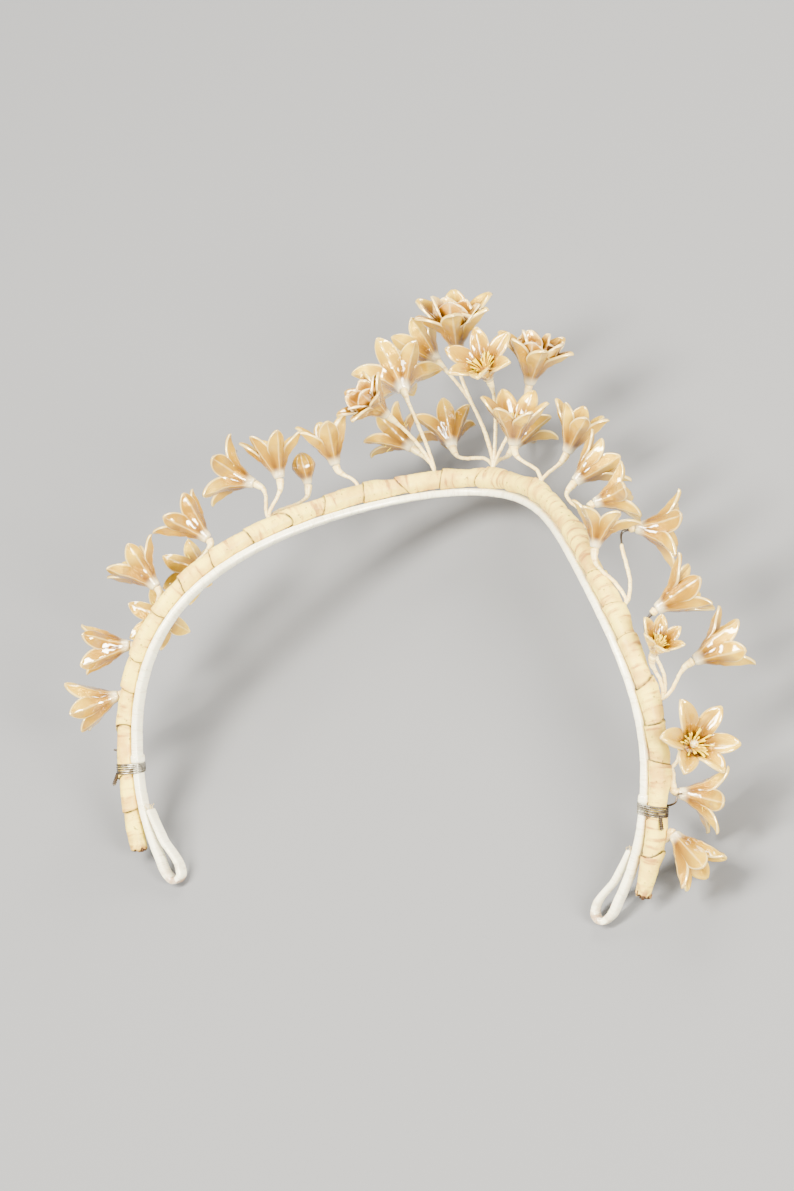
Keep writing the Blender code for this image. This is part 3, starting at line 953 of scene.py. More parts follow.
@dataclass(frozen=True)
class Tape:
    """Tape wound round a wire: its colours, its gloss and how plain its seams are.

    Scales are waves for each metre. The painted shade beside a seam reaches seam_shade_reach seam
    widths.
    """

    name: str
    seams: Seams
    light: Colour
    shade: Colour
    seam: Colour
    seam_width: float
    seam_share: float
    rough: Pair
    coat: float
    relief: float
    grain: float
    specks: float
    # worn is the brown of real wear on the roll's ends and of its crinkles, and also of the
    # painted shade at the band's loops
    worn: Colour = srgb("8A5A33")
    iron: Colour = srgb("2A211A")
    # under_side narrows the painted shade on one side of each seam
    under_side: float = 2.5
    fibre_stretch: Triple = (1.0, 0.22, 0.22)
    blotch_scale: float = 150.0
    broken_scale: float = 420.0
    speck_scale: float = 800.0
    wear_and_shade_scale: float = 500.0
    blotched: Step = (0.42, 0.75, 0.0, 0.8)
    fibrous: Step = (0.50, 0.68, 0.0, 0.8)
    crinkled: Step = (0.58, 0.70, 0.0, 0.6)
    broken: Step = (0.35, 0.55, 0.60, 1.0)
    seam_shade_reach: float = 7.0
    seam_shade_share: float = 0.35
    speck_limits: Pair = (0.76, 0.80)
    speck_share: float = 0.7
    wear_and_shade_breaks: Step = (0.35, 0.6, 0.0, 1.0)
    wear_and_shade_share: float = 0.8
    blotch_relief: float = 0.5
    relief_height: float = 0.0003
    gloss_limits: Pair = (0.3, 0.7)

    def material(self) -> Material:
        """Return the material.

        Returns:
            The material.
        """
        finish = Finish(self.name, {"Coat Weight": self.coat, "Coat Roughness": 0.2,
                                    "Sheen Weight": 0.05, "Subsurface Weight": 0.08,
                                    "Subsurface Scale": 0.0008, "Specular IOR Level": 0.25})
        flat = finish.mark("flat", vector=True)
        turns = finish.add("ShaderNodeSeparateXYZ", {
            0: finish.add("ShaderNodeUVMap", uv_map="wrap").outputs[0]})
        rise = self.seams.rise(finish, turns.outputs[1], turns.outputs[0], flat)
        # Distance to the nearest seam, shorter on one side, which sets the painted shade beside
        # each step
        under = finish.times(finish.minus(1.0, rise), self.under_side)
        near = finish.times(finish.math("MINIMUM", rise, under), self.seams.pitch)
        blotch = finish.noise(flat, self.blotch_scale, FINE)
        fibre = finish.noise(finish.vector("MULTIPLY", flat, self.fibre_stretch),
                             self.grain, FINEST)
        line = finish.times(finish.ramp(near, 0.0, self.seam_width, 1.0, 0.0),
                            finish.ramp(finish.noise(flat, self.broken_scale), *self.broken))
        # soft is painted shade beside each seam, in the shade colour
        soft = finish.ramp(near, 0.0, self.seam_width * self.seam_shade_reach, self.seam_shade_share, 0.0)
        *crinkled, crinkle_share = self.crinkled
        lowest, highest = self.speck_limits
        speck = finish.ramp(finish.noise(flat, self.speck_scale, SOFT), lowest - self.specks,
                            highest, 0.0, self.speck_share)
        # Real wear on the roll's ends and painted shade at the band's loops, broken up by noise
        wear_and_shade = finish.times(finish.mark("wear_and_shade"), finish.ramp(
            finish.noise(flat, self.wear_and_shade_scale, FINE), *self.wear_and_shade_breaks))
        colour = finish.layered(
            self.light,
            (finish.ramp(blotch, *self.blotched), self.shade),
            (finish.ramp(fibre, *self.fibrous), self.shade),
            (finish.ramp(fibre, *crinkled, crinkle_share * self.seam_share), self.worn),
            # painted shade beside the seams
            (soft, self.shade),
            (finish.times(line, self.seam_share), self.seam),
            (speck, self.seam),
            # real wear and painted shade, in the worn brown
            (finish.times(wear_and_shade, self.wear_and_shade_share), self.worn),
            (finish.mark("bare"), self.iron))
        finish.bumped(finish.plus(fibre, finish.times(blotch, self.blotch_relief)),
                      self.relief, self.relief_height)
        return finish.show(colour, finish.ramp(fibre, *self.gloss_limits, *self.rough))


PAPER = Tape("paper_tape", Seams(0.0128, sway=0.07, wander=0.9), light=srgb("F8E062"),
             shade=srgb("C89848"), seam=srgb("100904"), seam_width=0.00072, seam_share=1.0,
             rough=(0.5, 0.75), coat=0.1, relief=1.0, grain=480.0, specks=0.11)
SATIN = Tape("satin_tape", Seams(0.0065, helix=1.0), light=srgb("F8F5E0"),
             shade=srgb("E8E2C6"), seam=srgb("857A5E"), seam_width=0.00015, seam_share=0.3,
             rough=(0.16, 0.28), coat=1.0, relief=0.12, grain=1400.0, specks=0.012)
STEM_TAPE = Tape("stem_tape", Seams(0.0030, helix=1.0), light=srgb("F9E4A0"),
                 shade=srgb("E8C26C"), seam=srgb("6F5526"), seam_width=0.00010,
                 seam_share=0.5, rough=(0.26, 0.45), coat=0.6, relief=0.4, grain=1500.0,
                 specks=0.012)


@dataclass(frozen=True)
class TinnedWire:
    """Dull binding wire, brown where the mark rust is high."""

    clean: Colour = srgb("B4B0A6")
    dark: Colour = srgb("625A4E")
    rust: Colour = srgb("3A2818")
    patch_scale: float = 500.0
    grain_scale: float = 3000.0
    darker: Step = (0.40, 0.62, 0.0, 1.0)
    gloss: Step = (0.3, 0.7, 0.30, 0.5)
    relief: Pair = (0.3, 0.00005)

    def material(self) -> Material:
        """Return the material.

        Returns:
            The material.
        """
        finish = Finish("binding_wire", {"Metallic": 0.8})
        patch = finish.noise(finish.place, self.patch_scale, FINE)
        finish.bumped(finish.noise(finish.place, self.grain_scale), *self.relief)
        colour = finish.layered(self.clean, (finish.ramp(patch, *self.darker), self.dark),
                                (finish.mark("rust"), self.rust))
        return finish.show(colour, finish.ramp(patch, *self.gloss))


@dataclass(frozen=True)
class IronEnds:
    """Cut ends of old iron wire, brown to black."""

    brown: Colour = srgb("6E4A2C")
    black: Colour = srgb("201812")
    patch_scale: float = 1500.0
    gloss: Step = (0.3, 0.7, 0.45, 0.75)
    relief: Pair = (0.4, 0.0001)

    def material(self) -> Material:
        """Return the material.

        Returns:
            The material.
        """
        finish = Finish("iron_ends", {"Metallic": 0.5})
        patch = finish.noise(finish.place, self.patch_scale)
        finish.bumped(patch, *self.relief)
        return finish.show(finish.blend(patch, self.black, self.brown),
                           finish.ramp(patch, *self.gloss))


@dataclass(frozen=True)
class Palette:
    """The crown's materials, made once."""

    wax: Material
    ruffle: Material
    stamen: Material
    pearl: Material
    paper: Material
    satin: Material
    stem: Material
    wire: Material
    iron: Material

    @classmethod
    def mixed(cls) -> "Palette":
        """Return every material of the crown.

        Returns:
            The materials.
        """
        return cls(PearledWax().material(), RUFFLE_WAX.material(),
                   StamenWax().material(), Pearl().material(),
                   PAPER.material(), SATIN.material(), STEM_TAPE.material(),
                   TinnedWire().material(), IronEnds().material())


LUMP_SCALE, CRINKLE_SCALE = 110.0, 800.0    # waves for each metre of tape


def winding_tree(seams: Seams) -> ShapeTree:
    """Return the tree that winds tape round tubes: steps, crinkles and lumps on their surface.

    Args:
        seams: Where the tape overlaps itself.

    Returns:
        The tree.
    """
    tree = ShapeTree("tape_winding")
    step = tree.take("Step")
    lump, crinkle = tree.take("Lump Height"), tree.take("Crinkle Height")
    seed, material = tree.take("Seed"), tree.take("Material", "Material")
    along, around = tree.named("along"), tree.named("around")
    radius, bare = tree.named("radius"), tree.named("bare")
    swing = tree.times(around, 2 * math.pi)
    flat = tree.combine(tree.plus(along, seed),
                        tree.times(tree.math("COSINE", swing), radius),
                        tree.times(tree.math("SINE", swing), radius))
    rise = seams.rise(tree, along, around, flat)
    height = tree.times(tree.minus(rise, 0.5), step)
    for scale, size, detail in ((LUMP_SCALE, lump, SOFT), (CRINKLE_SCALE, crinkle, FINE)):
        wave = tree.minus(tree.noise(flat, scale, detail), 0.5)
        height = tree.plus(height, tree.times(wave, size))
    height = tree.times(height, tree.minus(1.0, bare))
    normal = tree.add("GeometryNodeInputNormal").outputs[0]
    shape = tree.moved(tree.entry.outputs[0], Offset=tree.vector("SCALE", normal, height))
    tree.close(tree.store(shape, "flat", flat, "FLOAT_VECTOR"), material)
    return tree


BEND_REACH = 0.6        # share of a petal over which its own bend sets in
RIPPLE_SCALE = 260.0    # waves for each metre of petal


def whorl_tree() -> ShapeTree:
    """Return the tree that sets one petal round the axis and gives each its own bend.

    Returns:
        The tree.
    """
    tree = ShapeTree("petal_whorl")
    count = tree.take("Count", "Int")
    radius, height = tree.take("Hinge Radius"), tree.take("Hinge Height")
    lean = tree.take("Lean")
    curl, twist, stretch = tree.take("Curl"), tree.take("Twist"), tree.take("Stretch")
    ripple, seed = tree.take("Ripple"), tree.take("Seed", "Int")
    material = tree.take("Material", "Material")
    index = tree.add("GeometryNodeInputIndex").outputs[0]
    points = tree.add("GeometryNodePoints", {"Count": count}).outputs[0]
    points = tree.store(points, "petal", index, "INT")
    step = tree.math("DIVIDE", 2 * math.pi, count)
    spin = tree.combine(0.0, 0.0, tree.times(index, step))
    placed = tree.add("GeometryNodeInstanceOnPoints", {
        "Points": points, "Instance": tree.entry.outputs[0], "Rotation": spin}).outputs[0]
    shape = tree.add("GeometryNodeRealizeInstances", {0: placed}).outputs[0]
    shape = tree.add("GeometryNodeMergeByDistance",
                     {"Geometry": shape, "Distance": 4 * MERGE}).outputs[0]
    petal = tree.named("petal", "INT")
    angle = tree.times(petal, step)
    hinge = tree.polar(radius, angle, height)
    tangent = tree.combine(tree.times(tree.math("SINE", angle), -1.0),
                           tree.math("COSINE", angle), 0.0)
    spine = tree.polar(tree.math("SINE", lean), angle, tree.math("COSINE", lean))
    weight = tree.ramp(tree.named("along"), 0.0, BEND_REACH)
    place = tree.add("GeometryNodeInputPosition").outputs[0]

    def chance(size: Any, shift: int) -> Socket:
        """Return one random share of a size for each petal, weighted along the petal.

        Args:
            size: The greatest size.
            shift: Added to the seed.

        Returns:
            The petal's own size.
        """
        own_seed = tree.plus(seed, shift)
        value = tree.chance(-1.0, 1.0, petal, own_seed)
        return tree.times(tree.times(value, size), weight)

    place = tree.turned(place, hinge, tangent, chance(curl, 1))
    place = tree.turned(place, hinge, spine, chance(twist, 2))
    reach = tree.vector("SUBTRACT", place, hinge)
    longer = tree.plus(1.0, chance(stretch, 3))
    place = tree.vector("ADD", hinge, tree.vector("SCALE", reach, longer))
    noise = tree.noise(tree.vector("ADD", place, tree.combine(seed, 0.0, 0.0)), RIPPLE_SCALE)
    wave = tree.times(tree.times(tree.minus(noise, 0.5), ripple), weight)
    normal = tree.add("GeometryNodeInputNormal").outputs[0]
    tree.close(tree.moved(shape, Position=place, Offset=tree.vector("SCALE", normal, wave)),
               material)
    return tree


STAMEN_JITTER = 0.4         # radians of each stamen's own turn
STAMEN_LEANS = (0.55, 1.1)  # its shares of the splay
STAMEN_SIZES = (0.8, 1.1)   # its shares of the full length
STAMEN_BEND = 1.8           # how late it bends
STAMEN_SINK = -70.0         # metres of height for each square metre that it bends out
LEAN_SEED, SIZE_SEED = 5, 9     # added to the seed for the draws of leans and sizes


def tuft_tree() -> ShapeTree:
    """Return the tree that stands stamens in a throat and bends them apart above it.

    Returns:
        The tree.
    """
    tree = ShapeTree("stamen_tuft")
    count, floor = tree.take("Count", "Int"), tree.take("Floor Radius")
    height, splay = tree.take("Floor Height"), tree.take("Splay")
    seed, material = tree.take("Seed", "Int"), tree.take("Material", "Material")
    index = tree.add("GeometryNodeInputIndex").outputs[0]
    share = tree.math("SQRT", tree.math("DIVIDE", tree.plus(index, 0.5), count))
    azimuth = tree.plus(tree.times(index, GOLDEN_ANGLE),
                        tree.chance(-STAMEN_JITTER, STAMEN_JITTER, index, seed))
    reach = tree.times(share, floor)
    place = tree.polar(reach, azimuth, height)
    points = tree.add("GeometryNodePoints", {"Count": count, "Position": place}).outputs[0]
    lean = tree.times(tree.times(share, splay),
                      tree.chance(*STAMEN_LEANS, index, tree.plus(seed, LEAN_SEED)))
    points = tree.store(points, "azimuth", azimuth)
    points = tree.store(points, "lean", lean)
    size = tree.chance(*STAMEN_SIZES, index, tree.plus(seed, SIZE_SEED))
    placed = tree.add("GeometryNodeInstanceOnPoints", {
        "Points": points, "Instance": tree.entry.outputs[0],
        "Rotation": tree.combine(0.0, 0.0, azimuth),
        "Scale": tree.combine(1.0, 1.0, size)}).outputs[0]
    shape = tree.add("GeometryNodeRealizeInstances", {0: placed}).outputs[0]
    swing, lean = tree.named("azimuth"), tree.named("lean")
    out = tree.times(lean, tree.math("POWER", tree.named("along"), STAMEN_BEND))
    sink = tree.times(tree.times(out, out), STAMEN_SINK)
    tree.close(tree.moved(shape, Offset=tree.polar(out, swing, sink)), material)
    return tree


WIRE_SIDES = 8


def wire_tree() -> ShapeTree:
    """Return the tree that gives lines a wire's or a thread's thickness.

    Returns:
        The tree.
    """
    tree = ShapeTree("bent_wire")
    radius, material = tree.take("Wire Radius"), tree.take("Material", "Material")
    line = tree.add("GeometryNodeMeshToCurve", {"Mesh": tree.entry.outputs[0]}).outputs[0]
    section = tree.add("GeometryNodeCurvePrimitiveCircle",
                       {"Resolution": WIRE_SIDES, "Radius": radius})
    shape = tree.add("GeometryNodeCurveToMesh", {
        "Curve": line, "Profile Curve": section.outputs[0], "Fill Caps": True}).outputs[0]
    tree.close(shape, material)
    return tree


def drawn(tree: ShapeTree, lines: Sequence[Array], radius: float,
          material: Material, rust: Sequence[Any] = ()) -> Mesh:
    """Return the mesh of wires or threads along lines.

    Args:
        tree: The wire tree.
        lines: Points of each line.
        radius: Radius of the wire.
        material: Its material.
        rust: Share of rust of each line, or of each of its points, none where it is empty.

    Returns:
        The mesh.
    """
    mesh = bpy.data.meshes.new("lines")
    points: list[list[float]] = []
    edges: list[tuple[int, int]] = []
    marks: list[float] = []
    for place, line in enumerate(lines):
        edges += [(len(points) + i, len(points) + i + 1) for i in range(len(line) - 1)]
        points += line.tolist()
        marks += np.broadcast_to(rust[place] if len(rust) else 0.0, len(line)).tolist()
    mesh.from_pydata(points, edges, [])
    mesh.attributes.new("rust", "FLOAT", "POINT").data.foreach_set("value", marks)
    return tree.grow(linked("lines", mesh), {"Wire Radius": radius, "Material": material})


@dataclass(frozen=True)
class Trees:
    """The crown's Geometry Nodes trees, made once."""

    paper: ShapeTree
    satin: ShapeTree
    stem: ShapeTree
    whorl: ShapeTree
    tuft: ShapeTree
    wire: ShapeTree

    @classmethod
    def planted(cls) -> "Trees":
        """Return every tree."""
        return cls(winding_tree(PAPER.seams), winding_tree(SATIN.seams),
                   winding_tree(STEM_TAPE.seams), whorl_tree(), tuft_tree(), wire_tree())


@dataclass(frozen=True)
class Relief:
    """Height of a tape's step at each seam, and of its lumps and crinkles."""

    step: float
    lump: float
    crinkle: float
    seed: float = 0.0

    def dress(self, tree: ShapeTree, mesh: Mesh, material: Material) -> Mesh:
        """Return a tube's mesh with its tape.

        Args:
            tree: The winding tree.
            mesh: The plain tube.
            material: The tape's finish.

        Returns:
            The wound tube.
        """
        return tree.grow(linked("tube", mesh), {
            "Step": self.step, "Lump Height": self.lump, "Crinkle Height": self.crinkle,
            "Seed": self.seed, "Material": material})


@dataclass(frozen=True)
class Lump:
    """Stretch of the roll that bulges over the ends of a spray's stems."""

    first: Array
    last: Array


@dataclass
class WrappedFrame:
    """The roll of wires in crinkled paper tape, with wire ends at both cuts.

    The wires' two depths are shares of the dish, their lean of their length.
    """

    node: str = "wrapped_frame"
    corners: int = 10
    sides: int = 48
    step: float = 0.45 * MILLIMETRE
    relief: Relief = Relief(step=0.00060, lump=0.00045, crinkle=0.00042)
    lump_reach: float = 0.0036
    lump_turn: float = 0.60
    lump_margin: float = 0.0030
    end_wires: int = 12
    wire_radius: float = 0.00052
    wire_length: float = 0.0011
    ragged: float = 0.00035
    dish: float = 0.0007
    end_share: float = 0.88
    wear_length: float = 0.006
    lump_flat: float = 0.45
    fringe_waves: tuple[int, int] = (5, 8)
    bundle_share: float = 0.74
    aside: Triple = (0.2, 0.3, 0.9)
    depths: Pair = (2.0, 0.4)
    length_stride: int = 5
    lean: float = 0.12
    lean_turn: float = 2.1
    thin_each: int = 3
    thin_share: float = 0.75
    wire_step: float = 0.6 * MILLIMETRE
    wire_sides: int = 8

    def __post_init__(self) -> None:
        """Read the solid's rings, from the right end to the left one."""
        solid = Solid(self.node)
        caps = solid.round_faces(self.corners)
        first = max(caps, key=lambda cap: cap.centre.x)
        rings = solid.rings(first.face)
        solid.free()
        self.stops = np.array([middle(ring) for ring in rings])
        self.radius = first.radius
        size = np.full(len(self.stops), self.radius)
        size[[0, -1]] *= self.end_share
        self.route = Route.through(self.stops, None, size, size, self.step)

    def build(self, trees: Trees, palette: Palette, lumps: Sequence[Lump]) -> None:
        """Build the roll and the wire ends.

        Args:
            trees: The trees.
            palette: The materials.
            lumps: Where stems end under the tape.
        """
        length = self.route.lengths()
        # On the roll the wear_and_shade mark is real wear near its two cut ends
        self.route.marks["wear_and_shade"] = 1 - eased(np.minimum(length, length[::-1]), 0.0,
                                             self.wear_length)
        mesh = tube_mesh("roll", [self.route], self.sides, TAPE_MARKS)
        self.shaped(mesh, lumps)
        keep_piece("frame_roll", self.relief.dress(trees.paper, mesh, palette.paper),
                   Slot.PAPER, self.node)
        for side, stop, inner in (("right", 0, 1), ("left", -1, -2)):
            out = unit(self.stops[stop] - self.stops[inner])
            keep_piece(f"frame_wire_ends_{side}", self.wire_ends(out, self.stops[stop], palette),
                       Slot.WIRE)

    def shaped(self, mesh: Mesh, lumps: Sequence[Lump]) -> None:
        """Raise the lumps on the plain roll and fray and dish its two ends.

        Args:
            mesh: The roll's mesh, which is changed.
            lumps: The lumps.
        """
        count = len(self.route.points)
        places = np.array([v.co for v in mesh.vertices])
        rings = places[:-2].reshape(count, self.sides, 3)
        centres = self.route.points[:, None]
        rays = unit(rings - centres)
        length = self.route.lengths()
        bulge = np.zeros((count, self.sides))
        for lump in lumps:
            near = [np.linalg.norm(self.route.points - end, axis=1).argmin()
                    for end in (lump.first, lump.last)]
            reach = abs(length[near[1]] - length[near[0]]) / 2 + self.lump_margin
            away = np.abs(length - length[near].mean())
            rise = 1 - eased(away, reach * self.lump_flat, reach)
            out = unit((lump.first + lump.last) / 2 - self.route.points[near].mean(0))
            turn = np.arccos(np.clip((rays * out).sum(-1), -1, 1))
            bulge = np.maximum(bulge, rise[:, None] * np.exp(-(turn / self.lump_turn) ** 2))
        rings += rays * (bulge * (self.lump_reach - self.radius))[..., None]
        angles = 2 * math.pi * np.arange(self.sides) / self.sides
        slow, fast = self.fringe_waves
        fringe = self.ragged * (np.sin(slow * angles) + np.sin(fast * angles + 1.0))
        alongs = unit(np.gradient(self.route.points, axis=0))
        for end, sign in ((0, -1.0), (count - 1, 1.0)):
            rings[end] += alongs[end] * sign * fringe[:, None]
            pole = len(places) - 2 + (end > 0)
            places[pole] = self.route.points[end] - alongs[end] * sign * self.dish
            mesh.attributes["bare"].data[pole].value = 1.0
        mesh.vertices.foreach_set("co", places.astype(np.float32).ravel())

    def wire_ends(self, out: Array, end: Array, palette: Palette) -> Mesh:
        """Return the cut wires that stand out of one end of the roll.

        Args:
            out: Direction out of the roll.
            end: Middle of its end.
            palette: The materials.

        Returns:
            The mesh.
        """
        side = unit(np.cross(out, self.aside))
        other = np.cross(out, side)
        deep, shallow = (self.dish * depth for depth in self.depths)
        routes = []
        for i in range(self.end_wires):
            reach = self.radius * self.bundle_share * math.sqrt((i + 0.5) / self.end_wires)
            turn = GOLDEN_ANGLE * i
            foot = end + (side * math.cos(turn) + other * math.sin(turn)) * reach
            aim = self.lean_turn * i
            lean = (side * math.cos(aim) + other * math.sin(aim)) * self.lean
            length = (self.wire_length * ((i * self.length_stride) % self.end_wires)
                      / self.end_wires)
            stops = np.array([foot - out * deep, foot - out * shallow,
                              foot + (out + lean) * length])
            size = np.full(3, self.wire_radius * (1.0 if i % self.thin_each else self.thin_share))
            routes.append(Route.through(stops, None, size, size, self.wire_step))
        mesh = tube_mesh("wire_ends", routes, self.wire_sides)
        mesh.materials.append(palette.iron)
        return mesh


@dataclass
class HeadBand:
    """The satin band inside the roll, with a hair pin loop at each end.

    The first ring's wide side points along first_wide. A thread's place is a share of the
    half width, and its spread, lift and bow are shares of its length.
    """

    node: str = "head_band"
    corners: int = 8
    sides: int = 24
    power: float = 3.6
    first_wide: Triple = (0.0, 0.0, 1.0)
    step: float = 0.5 * MILLIMETRE
    relief: Relief = Relief(step=0.00008, lump=0.00014, crinkle=0.00003, seed=7.3)
    # Painted shade at the bottom turn of each loop: its distance from the band's end and its
    # spread
    loop_shade_reach: float = 0.005
    loop_shade_place: float = 0.025
    wrap_length: float = 0.0026
    wrap_above: float = 0.0022
    wrap_thickness: float = 0.00040
    wrap_edge: float = 0.4
    threads: int = 9
    thread_radius: float = 0.00008
    thread_seed: int = 40
    thread_points: int = 10
    thread_root: float = 0.001
    thread_lengths: Pair = (0.0020, 0.0045)
    thread_spread: float = 0.9
    thread_lift: float = 0.5
    thread_bow: float = 0.45
    thread_swing: float = 3.4

    def __post_init__(self) -> None:
        """Read the solid's rings and the direction of each one's wide side."""
        solid = Solid(self.node)
        cap = next(f for f in solid.shape.faces if len(f.verts) == self.corners)
        rings = solid.rings(cap)
        solid.free()
        stops = np.array([middle(ring) for ring in rings])
        alongs = unit(np.gradient(stops, axis=0))
        wides, half_wide, half_thin = [], [], []
        last = np.array(self.first_wide)
        for ring, centre, along in zip(rings, stops, alongs):
            arms = np.array([list(p) for p in ring]) - centre
            _, _, axes = np.linalg.svd(arms)
            wide = axes[0] - along * axes[0].dot(along)
            wide = wide / np.linalg.norm(wide)
            if wide.dot(last) < 0:
                wide = -wide
            last = wide
            thin = np.cross(along, wide)
            wides.append(wide)
            half_wide.append(np.abs(arms @ wide).max())
            half_thin.append(np.abs(arms @ thin).max())
        self.route = Route.through(stops, np.array(wides), np.array(half_wide),
                                   np.array(half_thin), self.step)

    def build(self, trees: Trees, palette: Palette, bound: Sequence[Array]) -> None:
        """Build the band, its extra wraps and the frayed threads of its loops.

        Args:
            trees: The trees.
            palette: The materials.
            bound: Middle of each wire binding.
        """
        route = self.route
        ends = np.minimum(route.lengths(), route.lengths()[::-1])
        # On the band the wear_and_shade mark is painted shade at the bottom turn of each loop
        route.marks["wear_and_shade"] = np.exp(-((ends - self.loop_shade_place) / self.loop_shade_reach) ** 2)
        wraps = [self.wrap(place) for place in bound]
        mesh = tube_mesh("band", [route, *wraps], self.sides, TAPE_MARKS, self.power)
        parts = [self.relief.dress(trees.satin, mesh, palette.satin)]
        parts += [drawn(trees.wire, self.frayed(end), self.thread_radius, palette.stem)
                  for end in (0, -1)]
        keep_piece("band_satin", joined(parts), Slot.SATIN, self.node)

    def wrap(self, bound: Array) -> Route:
        """Return the route of the extra tape round the band just above a binding.

        Args:
            bound: Middle of the binding.

        Returns:
            The route.
        """
        points = self.route.points
        near = np.linalg.norm(points - bound, axis=1).argmin()
        toward_crest = 1 if near < len(points) / 2 else -1
        skip = int(self.wrap_above / self.step)
        count = int(self.wrap_length / self.step)
        picked = near + toward_crest * (skip + np.arange(count + 1))
        edge = np.ones(count + 1)
        edge[[0, -1]] = self.wrap_edge
        more = self.wrap_thickness * edge
        return Route(points[picked], self.route.wides[picked],
                     self.route.half_wide[picked] + more, self.route.half_thin[picked] + more)

    def frayed(self, end: int) -> list[Array]:
        """Return the lines of the threads that stand off the tip of a loop.

        Args:
            end: 0 for the first end of the band, -1 for the last.

        Returns:
            The lines.
        """
        route = self.route
        inner = 1 if end == 0 else -2
        chance = np.random.default_rng(self.thread_seed + end)
        out = unit(route.points[end] - route.points[inner])
        wide = route.wides[end]
        shares = np.linspace(0, 1, self.thread_points)[:, None]
        swing = np.sin(shares * self.thread_swing) * shares
        lines = []
        for _ in range(self.threads):
            place = chance.uniform(-self.thread_spread, self.thread_spread)
            foot = route.points[end] + wide * route.half_wide[end] * place
            spread = chance.uniform(-self.thread_spread, self.thread_spread)
            lift = chance.uniform(-self.thread_lift, self.thread_lift)
            aim = unit(out + wide * spread + np.cross(out, wide) * lift)
            bow = unit(np.cross(aim, chance.normal(size=3))) * self.thread_bow
            length = chance.uniform(*self.thread_lengths)
            lines.append(foot - out * self.thread_root + length * (aim * shares + bow * swing))
        return lines


def convex_outline(points: Array) -> Array:
    """Return the corners of the convex outline of points in a plane, in order.

    Args:
        points: Two numbers for each point.

    Returns:
        The corners, anticlockwise.
    """
    order = sorted(map(tuple, points))
    corners: list[Pair] = []
    for line in (order, order[::-1]):
        chain: list[Pair] = []
        for p in line:
            while len(chain) > 1 and ((chain[-1][0] - chain[-2][0]) * (p[1] - chain[-2][1])
                                      <= (chain[-1][1] - chain[-2][1]) * (p[0] - chain[-2][0])):
                chain.pop()
            chain.append(p)
        corners += chain[:-1]
    return np.array(corners)


